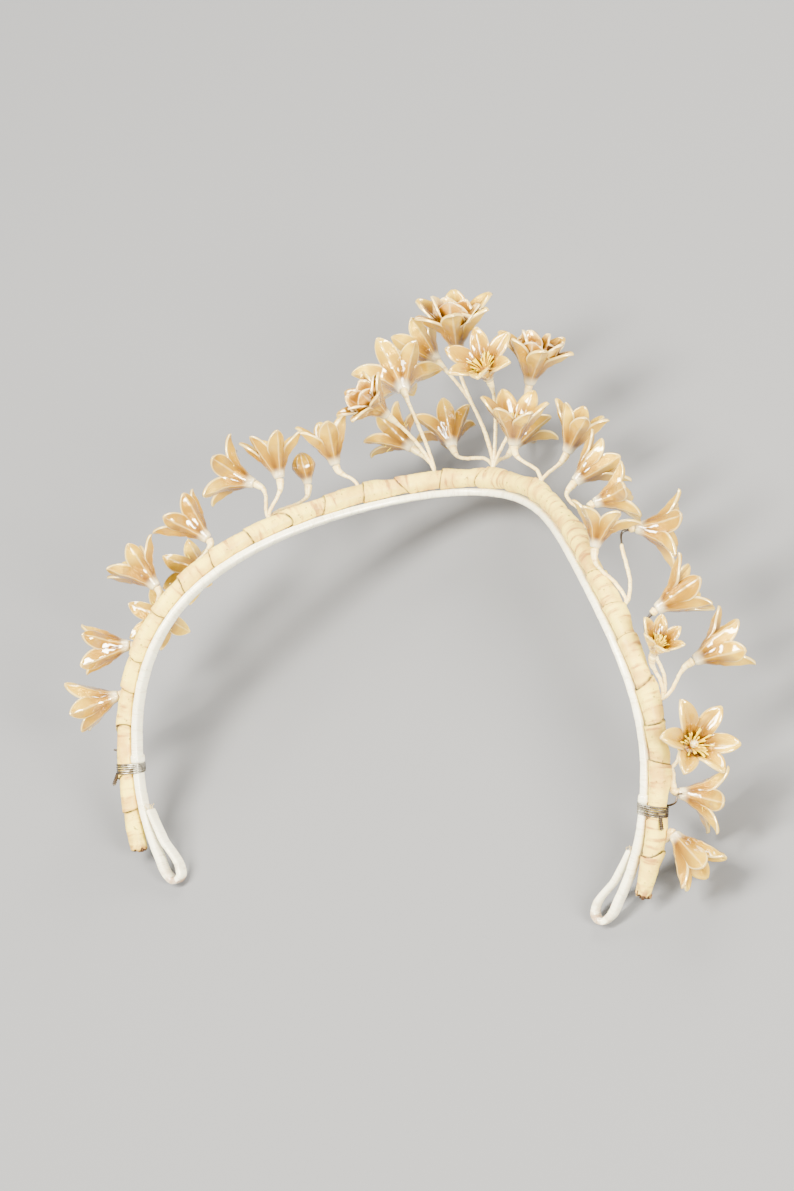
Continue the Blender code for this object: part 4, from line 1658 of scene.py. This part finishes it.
@dataclass
class Binding:
    """Wire wound tightly round roll and band on one side, with its ends twisted together.

    The curl's stops are shares of the tail, outward, backward and down. The twist's foot and
    aim are shares outward and backward.
    """

    side: str
    corners: int = 4
    end_rings: int = 3
    wire: float = 0.00030
    turns: int = 5
    pitch: float = 0.00064
    wobble: float = 0.00012
    turn_points: int = 56
    tail: float = 0.0050
    twist_turns: int = 3
    twist_length: float = 0.0038
    twist_radius: float = 0.00034
    twist_points: int = 10
    wobble_rate: float = 2.3
    curl: tuple[Triple, ...] = ((0.50, 0.16, 0.0), (0.92, 0.20, -0.25), (1.02, 0.10, -0.75),
                               (1.25, 0.10, -0.80))
    curl_step: float = 0.3 * MILLIMETRE
    twist_foot: Pair = (0.80, 0.75)
    twist_aim: Pair = (0.35, 0.25)
    roll_rust: float = 0.75
    end_rust: tuple[float, ...] = (0.9, 0.5, 0.8, 0.8)
    outline_points: int = 72
    corner_power: float = 0.6

    @property
    def node(self) -> str:
        """Return the binding's node."""
        return f"binding_{self.side}"

    def __post_init__(self) -> None:
        """Read the middle of the solid's coil."""
        solid = Solid(self.node)
        rings = solid.rings(solid.smallest_face(self.corners))
        solid.free()
        coil = rings[self.end_rings:-self.end_rings]
        self.heart = np.array([middle(ring) for ring in coil]).mean(0)

    def build(self, trees: Trees, palette: Palette, roll: Route, band: Route) -> None:
        """Build the coil, its curled end and the pigtail.

        Args:
            trees: The trees.
            palette: The materials.
            roll: The route of the roll.
            band: The route of the band.
        """
        at = np.linalg.norm(roll.points - self.heart, axis=1).argmin()
        beside = np.linalg.norm(band.points - roll.points[at], axis=1).argmin()
        core = roll.points[at]
        down = unit(roll.points[at + 1] - roll.points[at - 1])
        if down[1] > 0:
            down = -down
        gap = core - band.points[beside]
        out = unit(gap - down * gap.dot(down))
        ahead = np.cross(out, down)
        if ahead[2] > 0:
            ahead = -ahead
        outline = self.outline(gap.dot(out), roll.half_thin[at],
                               (band.half_thin[beside], band.half_wide[beside]))
        shares = np.arange(self.turns * self.turn_points + 1) / self.turn_points
        index = np.arange(len(shares)) % self.turn_points
        level = (shares - self.turns / 2) * self.pitch + self.wobble * np.sin(
            self.wobble_rate * math.pi * shares)
        coil = (core + out * outline[index, :1] + ahead * outline[index, 1:]
                + down * level[:, None])
        back = -ahead
        curl = np.array([coil[0]] + [coil[0] + (out * o + back * b + down * d) * self.tail
                                     for o, b, d in self.curl])
        size = np.ones(len(curl))
        outward, backward = self.twist_foot
        foot = (core + (out * outward + back * backward) * roll.half_thin[at]
                + down * level[-1])
        lines = [coil, Route.through(curl, None, size, size, self.curl_step).points,
                 np.array([coil[-1], foot]), *self.pigtail(foot, out, back, down)]
        on_roll = self.roll_rust * eased(outline[index, 0], -roll.half_thin[at], 0.0)
        made = drawn(trees.wire, lines, self.wire, palette.wire, (on_roll, *self.end_rust))
        keep_piece(f"binding_coil_{self.side}", made, Slot.WIRE, self.node)

    def pigtail(self, foot: Array, out: Array, back: Array, down: Array) -> list[Array]:
        """Return the lines of the two ends twisted together.

        Args:
            foot: Where they meet.
            out: Direction away from the band.
            back: Direction towards the back of the crown.
            down: Direction along the roll towards its end.

        Returns:
            The lines.
        """
        outward, backward = self.twist_aim
        aim = unit(down + out * outward + back * backward)
        across = unit(np.cross(aim, out))
        other = np.cross(aim, across)
        twist = np.linspace(0, 1, self.twist_points * self.twist_turns)[:, None]
        swings = [start + 2 * math.pi * self.twist_turns * twist for start in (0.0, math.pi)]
        return [foot + aim * self.twist_length * twist
                + (across * np.cos(swing) + other * np.sin(swing)) * self.twist_radius
                for swing in swings]

    def outline(self, gap: float, radius: float, band: Pair) -> Array:
        """Return one taut turn round roll and band, as evenly spaced points.

        Args:
            gap: Distance between the middles of roll and band.
            radius: Radius of the roll.
            band: Half thickness and half width of the band.

        Returns:
            Outward and forward place of each point from the middle of the roll.
        """
        angles = np.linspace(0, 2 * math.pi, self.outline_points, endpoint=False)
        round_way = np.stack([np.cos(angles), np.sin(angles)], 1)
        corner = np.sign(round_way) * np.abs(round_way) ** self.corner_power
        points = np.concatenate([
            round_way * (radius + self.wire),
            corner * (np.array(band) + self.wire) + [-gap, 0.0]])
        corners = convex_outline(points)
        start = np.abs(np.arctan2(corners[:, 1], corners[:, 0]) - math.pi / 2).argmin()
        loop = np.roll(corners, -start, axis=0)
        loop = np.concatenate([loop, loop[:1]])
        place = np.concatenate([[0], np.cumsum(np.linalg.norm(np.diff(loop, axis=0), axis=1))])
        now = np.linspace(0, place[-1], self.turn_points, endpoint=False)
        return np.stack([np.interp(now, place, loop[:, i]) for i in range(2)], 1)


@dataclass
class Spray:
    """Taped stems that end on the roll, under its tape."""

    node: str
    stem_corners: int = 5
    foot_corners: int = 8
    foot_length: float = 0.010
    sides: int = 12
    step: float = 0.35 * MILLIMETRE
    relief: Relief = Relief(step=0.00012, lump=0.00010, crinkle=0.00007)
    sink: float = 0.0012
    root_reach: float = 0.0018
    foot_radii: Pair = (0.0005, 0.0009)
    stem_radii: Pair = (0.0004, 0.0008)
    slimmer: float = 0.92
    bare_start: float = 0.0014
    bare_length: float = 0.0075
    bare_edges: Pair = (0.0004, 0.0005)
    bare_thinner: float = 0.45
    swell: float = 1.2
    swell_length: float = 0.0060

    def __post_init__(self) -> None:
        """Read the two ends of the foot."""
        solid = Solid(self.node)
        feet = solid.round_faces(self.foot_corners, *self.foot_radii)
        solid.free()
        first = np.array(feet[0].centre)
        last = (np.array(feet[1].centre) if len(feet) > 1
                else first - np.array(feet[0].normal) * self.foot_length)
        self.lump = Lump(first, last)

    def build(self, trees: Trees, palette: Palette, roll: Route,
              bare_stems: Sequence[Vector]) -> None:
        """Build the stems.

        Args:
            trees: The trees.
            palette: The materials.
            roll: The route of the roll that carries the spray.
            bare_stems: Bases of the blossoms whose stem has lost some tape.
        """
        heart = (self.lump.first + self.lump.last) / 2
        core = roll.points[np.linalg.norm(roll.points - heart, axis=1).argmin()]
        out = unit(heart - core)
        inner = (heart - out * self.sink, core + out * self.root_reach)
        solid = Solid(self.node)
        routes = [self.stem(solid, cap, inner, bare_stems)
                  for cap in solid.round_faces(self.stem_corners, *self.stem_radii)]
        solid.free()
        stems = tube_mesh("stems", routes, self.sides, TAPE_MARKS)
        keep_piece(f"{self.node}_stems", self.relief.dress(trees.stem, stems, palette.stem),
                   Slot.STEM, self.node)

    def stem(self, solid: Solid, cap: RoundFace, inner: Sequence[Array],
             bare_stems: Sequence[Vector]) -> Route:
        """Return the route of one stem, from its blossom into the roll.

        Args:
            solid: The spray's solid.
            cap: The stem's flat end at the blossom.
            inner: Points that it passes below the tape.
            bare_stems: Bases of the blossoms whose stem has lost some tape.

        Returns:
            The route, with the share of bare wire marked.
        """
        stops = np.array([middle(ring) for ring in solid.rings(cap.face)] + list(inner))
        size = np.full(len(stops), cap.radius * self.slimmer)
        route = Route.through(stops, None, size, size, self.step)
        length = route.lengths()
        gone = np.zeros(len(length))
        if any((cap.centre - base).length < MILLIMETRE for base in bare_stems):
            first, last = self.bare_edges
            gone = eased(length, self.bare_start, self.bare_start + first) * (
                1 - eased(length, self.bare_length, self.bare_length + last))
        route.marks["bare"] = gone
        swell = ((1 + self.swell * (1 - eased(length, 0.0, self.swell_length)))
                 * (1 - self.bare_thinner * gone))
        route.half_wide = route.half_wide * swell
        route.half_thin = route.half_thin * swell
        return route


@dataclass(frozen=True)
class PetalForm:
    """Sizes of a petal and of the throat it grows from, in metres and degrees.

    Places along a petal are shares of its length, widths across it of its half width. The
    numbers of taper, edges, keel_fade and those ending in power are powers.
    """

    spread: float
    length: float = 0.0108
    half_width: float = 0.0033
    thickness: float = 0.0014
    cup: float = 0.0015
    start: float = 20.0
    crowd: float = 28.5
    calyx_radius: float = 0.0016
    neck_radius: float = 0.0022
    throat_radius: float = 0.0042
    throat_height: float = 0.0052
    floor_radius: float = 0.0014
    floor_height: float = 0.0032
    notch: float = 0.10
    keel: float = 0.00052
    valley: float = 0.00045
    petals: int = 6
    columns: int = 17
    rows: int = 24
    throat_rows: int = 8
    curl: float = 11.0
    twist: float = 13.0
    stretch: float = 0.06
    ripple: float = 0.00030
    widest: float = 0.40
    hinge_width: float = 0.62
    taper: Pair = (1.35, 0.85)
    least_radius: float = 0.0003
    row_power: float = 0.92
    root: float = 0.25
    point_from: float = 0.55
    bowl_place: float = 0.4
    bowl_power: float = 1.7
    keel_width: float = 0.26
    keel_fade: float = 3.0
    valley_width: float = 0.18
    valley_from: float = 0.2
    edges: Pair = (4.5, 9.0)
    neck_place: float = 0.45
    flare: Pair = (0.30, 1.12)
    flare_size: float = 1.02
    floor_power: float = 0.8

    def midrib(self, share: Array) -> tuple[Array, Array, Array]:
        """Return radius, height and lean of the midrib's back at shares of its length.

        Args:
            share: Shares from 0 to 1.

        Returns:
            The three, each as long as the shares.
        """
        start = math.radians(self.start)
        bend = math.radians(self.spread) - start
        now = start + bend * share
        radius = self.throat_radius + self.length * (math.cos(start) - np.cos(now)) / bend
        height = self.throat_height + self.length * (np.sin(now) - math.sin(start)) / bend
        return radius, height, now

    def half_widths(self, share: Array, radius: Array) -> Array:
        """Return the petal's half width at shares of its length.

        Args:
            share: Shares from 0 to 1.
            radius: The midrib's radius at each.

        Returns:
            The half widths.
        """
        rest = np.clip((share - self.widest) / (1 - self.widest), 0, 1)
        low = self.hinge_width + (1 - self.hinge_width) * np.sin(
            math.pi / 2 * np.clip(share / self.widest, 0, 1))
        late, blunt = self.taper
        high = np.cos(math.pi / 2 * rest ** late) ** blunt
        free = self.half_width * np.where(share < self.widest, low, high)
        crowded = np.maximum(radius, self.least_radius) * math.tan(math.radians(self.crowd))
        return np.minimum(free, crowded)

    def ringed(self, radius: Any, height: Any, w: Array) -> Array:
        """Return places on a ring round the axis, one for each column of the sector.

        Args:
            radius: The ring's radius.
            height: Its height.
            w: Place of each column, from -1 to 1.

        Returns:
            The places.
        """
        angle = np.arcsin(np.clip(math.sin(math.pi / self.petals) * w, -1, 1))
        return np.stack([radius * np.cos(angle), radius * np.sin(angle), height + 0 * w], -1)

    def blade(self, w: Array, s: Array) -> tuple[Array, Array]:
        """Return the petal's back and front above its hinge.

        Args:
            w: Place of each column, from -1 to 1.
            s: Place of each row, from 0 at the hinge to 1 at the tip.

        Returns:
            The places of the two.
        """
        size = np.abs(w)
        radius, height, lean = self.midrib(s)
        point = eased(s, self.point_from, 1.0)
        deep = self.bowl_place
        bowl = (deep + (1 - deep) * eased(s, 0.0, deep)) * size ** self.bowl_power
        lift = self.cup * (bowl * (1 - point) + point)
        rooted = eased(s, 0.0, self.root)
        lift = lift - (self.keel * np.exp(-(w / self.keel_width) ** 2) * rooted
                       * (1 - s ** self.keel_fade))
        front_r, front_z = -np.cos(lean), np.sin(lean)
        free = np.stack([radius + front_r * lift, self.half_widths(s, radius) * w + 0 * radius,
                         height + front_z * lift], -1)
        wall = self.ringed(radius * (1 - self.notch * w ** 2), height, w)
        back = wall * (1 - rooted[..., None]) + free * rooted[..., None]
        side_edge, tip_edge = self.edges
        thick = (self.thickness * np.sqrt(np.maximum(0.0, 1 - size ** side_edge))
                 * np.sqrt(np.maximum(0.0, 1 - s ** tip_edge)))
        thick = thick - (self.valley * np.exp(-(w / self.valley_width) ** 2) * (1 - s)
                         * eased(s, 0.0, self.valley_from))
        return back, back + np.stack([front_r * thick, 0 * thick, front_z * thick], -1)

    def throat(self, w: Array, t: Array, hinge: Array) -> tuple[Array, Array]:
        """Return the outside and the inside of the sector's share of the throat.

        Args:
            w: Place of each column, from -1 to 1.
            t: Place of each row, from 0 at the base to 1 at the hinge.
            hinge: Where the petal's front begins.

        Returns:
            The places of the two.
        """
        radius = self.calyx_radius + (self.neck_radius - self.calyx_radius) * np.sin(
            math.pi * np.clip(t / self.neck_place, 0, 1) / 2)
        radius = radius + ((self.throat_radius - self.neck_radius) * eased(t, *self.flare)
                           * self.flare_size)
        outer = self.ringed(radius * (1 - self.notch * w ** 2 * t ** 2),
                            self.throat_height * t, w)
        floor = self.ringed(self.floor_radius, self.floor_height, w)
        share = (t ** self.floor_power)[..., None]
        return outer, floor * (1 - share) + hinge[None] * share

    def sector(self, name: str) -> Mesh:
        """Return one petal with its share of the throat, as two sheets that meet at the rim.

        Args:
            name: The mesh's name.

        Returns:
            The mesh.
        """
        w = np.sin(np.linspace(-math.pi / 2, math.pi / 2, self.columns))[None, :]
        s = (np.linspace(0, 1, self.rows + 1) ** self.row_power)[:, None]
        t = np.linspace(0, 1, self.throat_rows + 1)[:-1][:, None]
        back, front = self.blade(w, s)
        outer, inner = self.throat(w, t, front[0])
        sheets = []
        for lower, upper, flip, side in ((outer, back, False, 0.0), (inner, front, True, 1.0)):
            grid = np.concatenate([lower, upper], 0)
            along = np.concatenate([t[:, 0] - 1, s[:, 0]])
            pole = np.array([0.0, 0.0, grid[0, 0, 2]])
            sheets.append((grid, along, pole, flip, side))
        return self.stitched(name, sheets, np.abs(w[0]))

    def stitched(self, name: str, sheets: list[tuple], size: Array) -> Mesh:
        """Return the mesh of the two sheets, each closed to the axis.

        Args:
            name: The mesh's name.
            sheets: Grid, place along, pole, whether it is flipped, and side of each.
            size: Distance of each column from the midrib, from 0 to 1.

        Returns:
            The mesh, with the attributes along, across and inside.
        """
        places, faces, marks = [], [], {"along": [], "across": [], "inside": []}
        start = 0
        for grid, along, pole, flip, side in sheets:
            rows, columns = grid.shape[:2]
            places += grid.reshape(-1, 3).tolist() + [pole.tolist()]
            marks["along"] += np.repeat(along, columns).tolist() + [float(along[0])]
            marks["across"] += np.tile(size, rows).tolist() + [0.0]
            marks["inside"] += [side] * (rows * columns + 1)
            for i in range(rows - 1):
                for j in range(columns - 1):
                    a = start + i * columns + j
                    quad = (a, a + 1, a + 1 + columns, a + columns)
                    faces.append(quad[::-1] if flip else quad)
            for j in range(columns - 1):
                fan = (start + rows * columns, start + j + 1, start + j)
                faces.append(fan[::-1] if flip else fan)
            start += rows * columns + 1
        mesh = bpy.data.meshes.new(name)
        mesh.from_pydata(places, [], faces)
        for mark, values in marks.items():
            mesh.attributes.new(mark, "FLOAT", "POINT").data.foreach_set("value", values)
        return mesh


PETALS = {
    Kind.STAR: PetalForm(spread=88.0),
    Kind.CUP: PetalForm(spread=60.0),
    Kind.DOUBLE: PetalForm(spread=76.0),
    Kind.BUD: PetalForm(spread=-70.0, cup=0.0004, thickness=0.0007, crowd=30.0, notch=0.03,
                        curl=1.0, twist=2.0, stretch=0.0, ripple=0.0001),
}
RUFFLE = PetalForm(spread=45.0, length=0.0104, half_width=0.0046, cup=0.0017, start=8.0,
                   throat_radius=0.0032, throat_height=0.0048, calyx_radius=0.0009,
                   neck_radius=0.0012, floor_radius=0.0008, floor_height=0.0036,
                   thickness=0.0010, crowd=40.0, petals=5, curl=12.0, twist=26.0,
                   stretch=0.14, ripple=0.0015)
SPLAYS = {Kind.STAR: 0.0056, Kind.CUP: 0.0034, Kind.DOUBLE: 0.0020}


@dataclass(frozen=True)
class Stamen:
    """A straight stamen, a thin thread with a grain at its tip."""

    heights: tuple[float, ...] = (-0.0006, 0.0014, 0.0034, 0.0054, 0.0064, 0.0070)
    radii: tuple[float, ...] = (0.00024, 0.00022, 0.00020, 0.00019, 0.00034, 0.00014)
    step: float = 0.6 * MILLIMETRE
    sides: int = 5

    def mesh(self) -> Mesh:
        """Return the stamen, which stands along +Z.

        Returns:
            The mesh, with the attribute along from 0 to 1.
        """
        heights, radii = np.array(self.heights), np.array(self.radii)
        stops = np.stack([0 * heights, 0 * heights, heights], 1)
        route = Route.through(stops, None, radii, radii, self.step)
        mesh = tube_mesh("stamen", [route], self.sides)
        values = np.empty(len(mesh.vertices), np.float32)
        mesh.attributes["along"].data.foreach_get("value", values)
        mesh.attributes["along"].data.foreach_set("value", values / values.max())
        return mesh


@dataclass
class Blossom:
    """A blossom set on the flat base of its solid."""

    node: str
    seed: int
    corners: int = 6
    full_radius: float = 0.0016
    stamens: int = 30
    floor_share: float = 0.8
    ruffle_seed: int = 500
    pearl_segments: tuple[int, int] = (20, 12)

    def __post_init__(self) -> None:
        """Read the solid's base: its middle, its axis, a corner and its size."""
        self.kind = Kind(self.node.split("_")[0])
        solid = Solid(self.node)
        base = solid.round_faces(self.corners)[0]
        axis = -base.normal
        arm = (base.face.verts[0].co - base.centre).normalized()
        side = axis.cross(arm).normalized()
        arm = side.cross(axis)
        solid.free()
        self.base = base.centre
        self.size = base.radius / self.full_radius
        turn = Matrix((arm, side, axis)).transposed().to_4x4()
        self.pose = Matrix.Translation(base.centre) @ turn @ Matrix.Scale(self.size, 4)

    def whorl(self, trees: Trees, form: PetalForm, material: Material, seed: int) -> Mesh:
        """Return a ring of petals of one form.

        Args:
            trees: The trees.
            form: The petals' form.
            material: Their finish.
            seed: Seed of each petal's own bend.

        Returns:
            The mesh, facing along +Z from its base.
        """
        return trees.whorl.grow(linked("petal", form.sector("petal")), {
            "Count": form.petals, "Hinge Radius": form.throat_radius,
            "Hinge Height": form.throat_height, "Lean": math.radians(form.spread) / 2,
            "Curl": math.radians(form.curl), "Twist": math.radians(form.twist),
            "Stretch": form.stretch, "Ripple": form.ripple, "Seed": seed,
            "Material": material})

    def build(self, trees: Trees, palette: Palette, pearl: float) -> None:
        """Build petals, stamens and a pearl among them.

        Args:
            trees: The trees.
            palette: The materials.
            pearl: Radius of the pearl, 0 where there is none.
        """
        form = PETALS[self.kind]
        parts = [self.whorl(trees, form, palette.wax, self.seed)]
        if self.kind is Kind.DOUBLE:
            parts.append(self.whorl(trees, RUFFLE, palette.ruffle,
                                    self.seed + self.ruffle_seed))
        if self.kind in SPLAYS:
            parts.append(trees.tuft.grow(linked("stamen", Stamen().mesh()), {
                "Count": self.stamens, "Floor Radius": form.floor_radius * self.floor_share,
                "Floor Height": form.floor_height, "Splay": SPLAYS[self.kind],
                "Seed": self.seed, "Material": palette.stamen}))
        if pearl:
            parts.append(self.pearl(form, pearl, palette.pearl))
        mesh = joined(parts)
        mesh.transform(self.pose)
        keep_piece(f"{self.node}_petals", mesh, Slot.WAX, self.node)

    def pearl(self, form: PetalForm, radius: float, material: Material) -> Mesh:
        """Return a pearl among the stamens.

        Args:
            form: The petals' form.
            radius: The pearl's radius.
            material: Its finish.

        Returns:
            The mesh.
        """
        around, down = self.pearl_segments
        turns = 2 * math.pi * np.arange(around) / around
        falls = math.pi * np.arange(1, down)[:, None] / down
        rings = np.stack([np.sin(falls) * np.cos(turns), np.sin(falls) * np.sin(turns),
                          np.cos(falls) + 0 * turns], -1).reshape(-1, 3)
        places = np.concatenate([rings, [[0, 0, 1], [0, 0, -1]]]) * radius
        places[:, 2] += form.throat_height + radius
        top, last = len(rings), len(rings) - around
        faces: list[tuple[int, ...]] = []
        for j in range(around):
            k = (j + 1) % around
            faces += [(top, j, k), (top + 1, last + k, last + j)]
            faces += [(i + j, i + around + j, i + around + k, i + k)
                      for i in range(0, last, around)]
        mesh = bpy.data.meshes.new("pearl")
        mesh.from_pydata(places.tolist(), [], faces)
        mesh.materials.append(material)
        return mesh


@dataclass(frozen=True)
class Viewpoint:
    """The photograph's angle to the crown: from behind, to the wearer's right, from above."""

    lean: float = math.radians(33.132)
    turn: float = math.radians(31.0)
    rise: float = math.radians(5.0)
    distance: float = 1.3
    fill: float = 0.86
    picture: tuple[int, int] = (794, 1191)
    sensor: float = 36.0
    clip: Pair = (0.05, 50.0)

    def laid(self, right: float, forward: float, up: float) -> Vector:
        """Return a direction of the worn crown as it lies on its front."""
        cosine, sine = math.cos(self.lean), math.sin(self.lean)
        return Vector((right, up * cosine + forward * sine, up * sine - forward * cosine))

    def build(self) -> bpy.types.Object:
        """Make the scene's camera, with the crown in the middle of the picture.

        Returns:
            The camera.
        """
        toward = self.laid(math.sin(self.turn) * math.cos(self.rise),
                           -math.cos(self.turn) * math.cos(self.rise), math.sin(self.rise))
        up = self.laid(0.0, 0.0, 1.0)
        up = (up - toward * up.dot(toward)).normalized()
        right = up.cross(toward)
        corners = [v.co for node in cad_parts.values() for v in node.data.vertices]
        across = [p.dot(right) for p in corners]
        above = [p.dot(up) for p in corners]
        near = [p.dot(toward) for p in corners]
        centre = (right * (min(across) + max(across)) / 2 + up * (min(above) + max(above)) / 2
                  + toward * (min(near) + max(near)) / 2)
        data = bpy.data.cameras.new("view")
        camera = linked("view", data)
        camera.matrix_world = Matrix.Translation(centre + toward * self.distance) @ Matrix(
            (right, up, toward)).transposed().to_4x4()
        share = self.picture[0] / self.picture[1]
        width = (max(across) - min(across)) / self.fill
        data.sensor_width = self.sensor
        data.lens = self.sensor * share * self.distance / width
        data.clip_start, data.clip_end = self.clip
        bpy.context.scene.camera = camera
        return camera


@dataclass(frozen=True)
class Lamp:
    """A soft lamp that faces the crown."""

    name: str
    place: Triple
    size: Pair
    power: float

    def build(self, colour: Colour) -> None:
        """Hang the lamp.

        Args:
            colour: The colour of its light.
        """
        data = bpy.data.lights.new(self.name, "AREA")
        data.shape = "RECTANGLE"
        data.size, data.size_y = self.size
        data.energy = self.power
        data.color = colour
        lamp = linked(self.name, data)
        lamp.location = self.place
        lamp.rotation_euler = Vector(self.place).to_track_quat("Z", "Y").to_euler()


@dataclass(frozen=True)
class Studio:
    """Pale floor, which grows paler away from the crown, and soft lights."""

    floor_size: float = 6.0
    floor_colour: Colour = srgb("686A72")
    grain_colour: Colour = srgb("63656D")
    far_colour: Colour = srgb("EDECEA")
    grain_scale: float = 9.0
    grain_share: float = 0.08
    pale_reach: Pair = (0.6, 2.4)
    roughness: float = 0.8
    sky: Colour = srgb("F4F3EF")
    sky_strength: float = 0.54
    lamp_colour: Colour = (1.0, 0.94, 0.76)
    lamps: tuple[Lamp, ...] = (
        Lamp("left_window", (-0.35, -0.25, 1.10), (0.32, 0.80), 74.0),
        Lamp("right_window", (0.98, -0.35, 0.65), (0.30, 0.60), 64.0),
        Lamp("top_panel", (0.10, 0.95, 0.75), (0.50, 0.40), 26.0))

    def build(self) -> None:
        """Make the floor, the sky and the lights."""
        shape = bmesh.new()
        bmesh.ops.create_grid(shape, x_segments=1, y_segments=1, size=self.floor_size / 2)
        mesh = bpy.data.meshes.new("floor")
        shape.to_mesh(mesh)
        shape.free()
        finish = Finish("floor_paper", {})
        grain = finish.times(finish.noise(finish.place, self.grain_scale), self.grain_share)
        away = finish.ramp(finish.vector("LENGTH", finish.place), *self.pale_reach)
        mesh.materials.append(finish.show(
            finish.layered(self.floor_colour, (grain, self.grain_colour),
                           (away, self.far_colour)), self.roughness))
        linked("floor", mesh)
        world = bpy.data.worlds.new("studio")
        world.use_nodes = True
        sky = world.node_tree.nodes["Background"]
        sky.inputs["Color"].default_value = (*self.sky, 1.0)
        sky.inputs["Strength"].default_value = self.sky_strength
        bpy.context.scene.world = world
        for lamp in self.lamps:
            lamp.build(self.lamp_colour)


PEARLS = {"star_blossom_02": 0.0013, "cup_blossom_14": 0.0008}      # radius of each
BARE_NODES = ("star_blossom_03", "cup_blossom_03", "star_blossom_05")
FIRST_SEED, SEED_STEP = 11, 7


def main() -> None:
    """Build the crown's looks, the studio and the view."""
    logging.basicConfig(level=logging.INFO, format="%(message)s")
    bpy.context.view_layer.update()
    palette = Palette.mixed()
    trees = Trees.planted()
    Viewpoint().build()
    Studio().build()
    names = sorted(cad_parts)
    sprays = [Spray(name) for name in names if name.startswith("spray_")]
    bindings = [Binding(side) for side in ("right", "left")]
    roll, band = WrappedFrame(), HeadBand()
    roll.build(trees, palette, [spray.lump for spray in sprays])
    band.build(trees, palette, [binding.heart for binding in bindings])
    for binding in bindings:
        binding.build(trees, palette, roll.route, band.route)
    blossoms = [Blossom(name, FIRST_SEED + SEED_STEP * i)
                for i, name in enumerate(n for n in names if "_blossom_" in n)]
    bare = [blossom.base for blossom in blossoms if blossom.node in BARE_NODES]
    for spray in sprays:
        spray.build(trees, palette, roll.route, bare)
    for blossom in blossoms:
        blossom.build(trees, palette, PEARLS.get(blossom.node, 0.0))


if __name__ == "__main__":
    main()
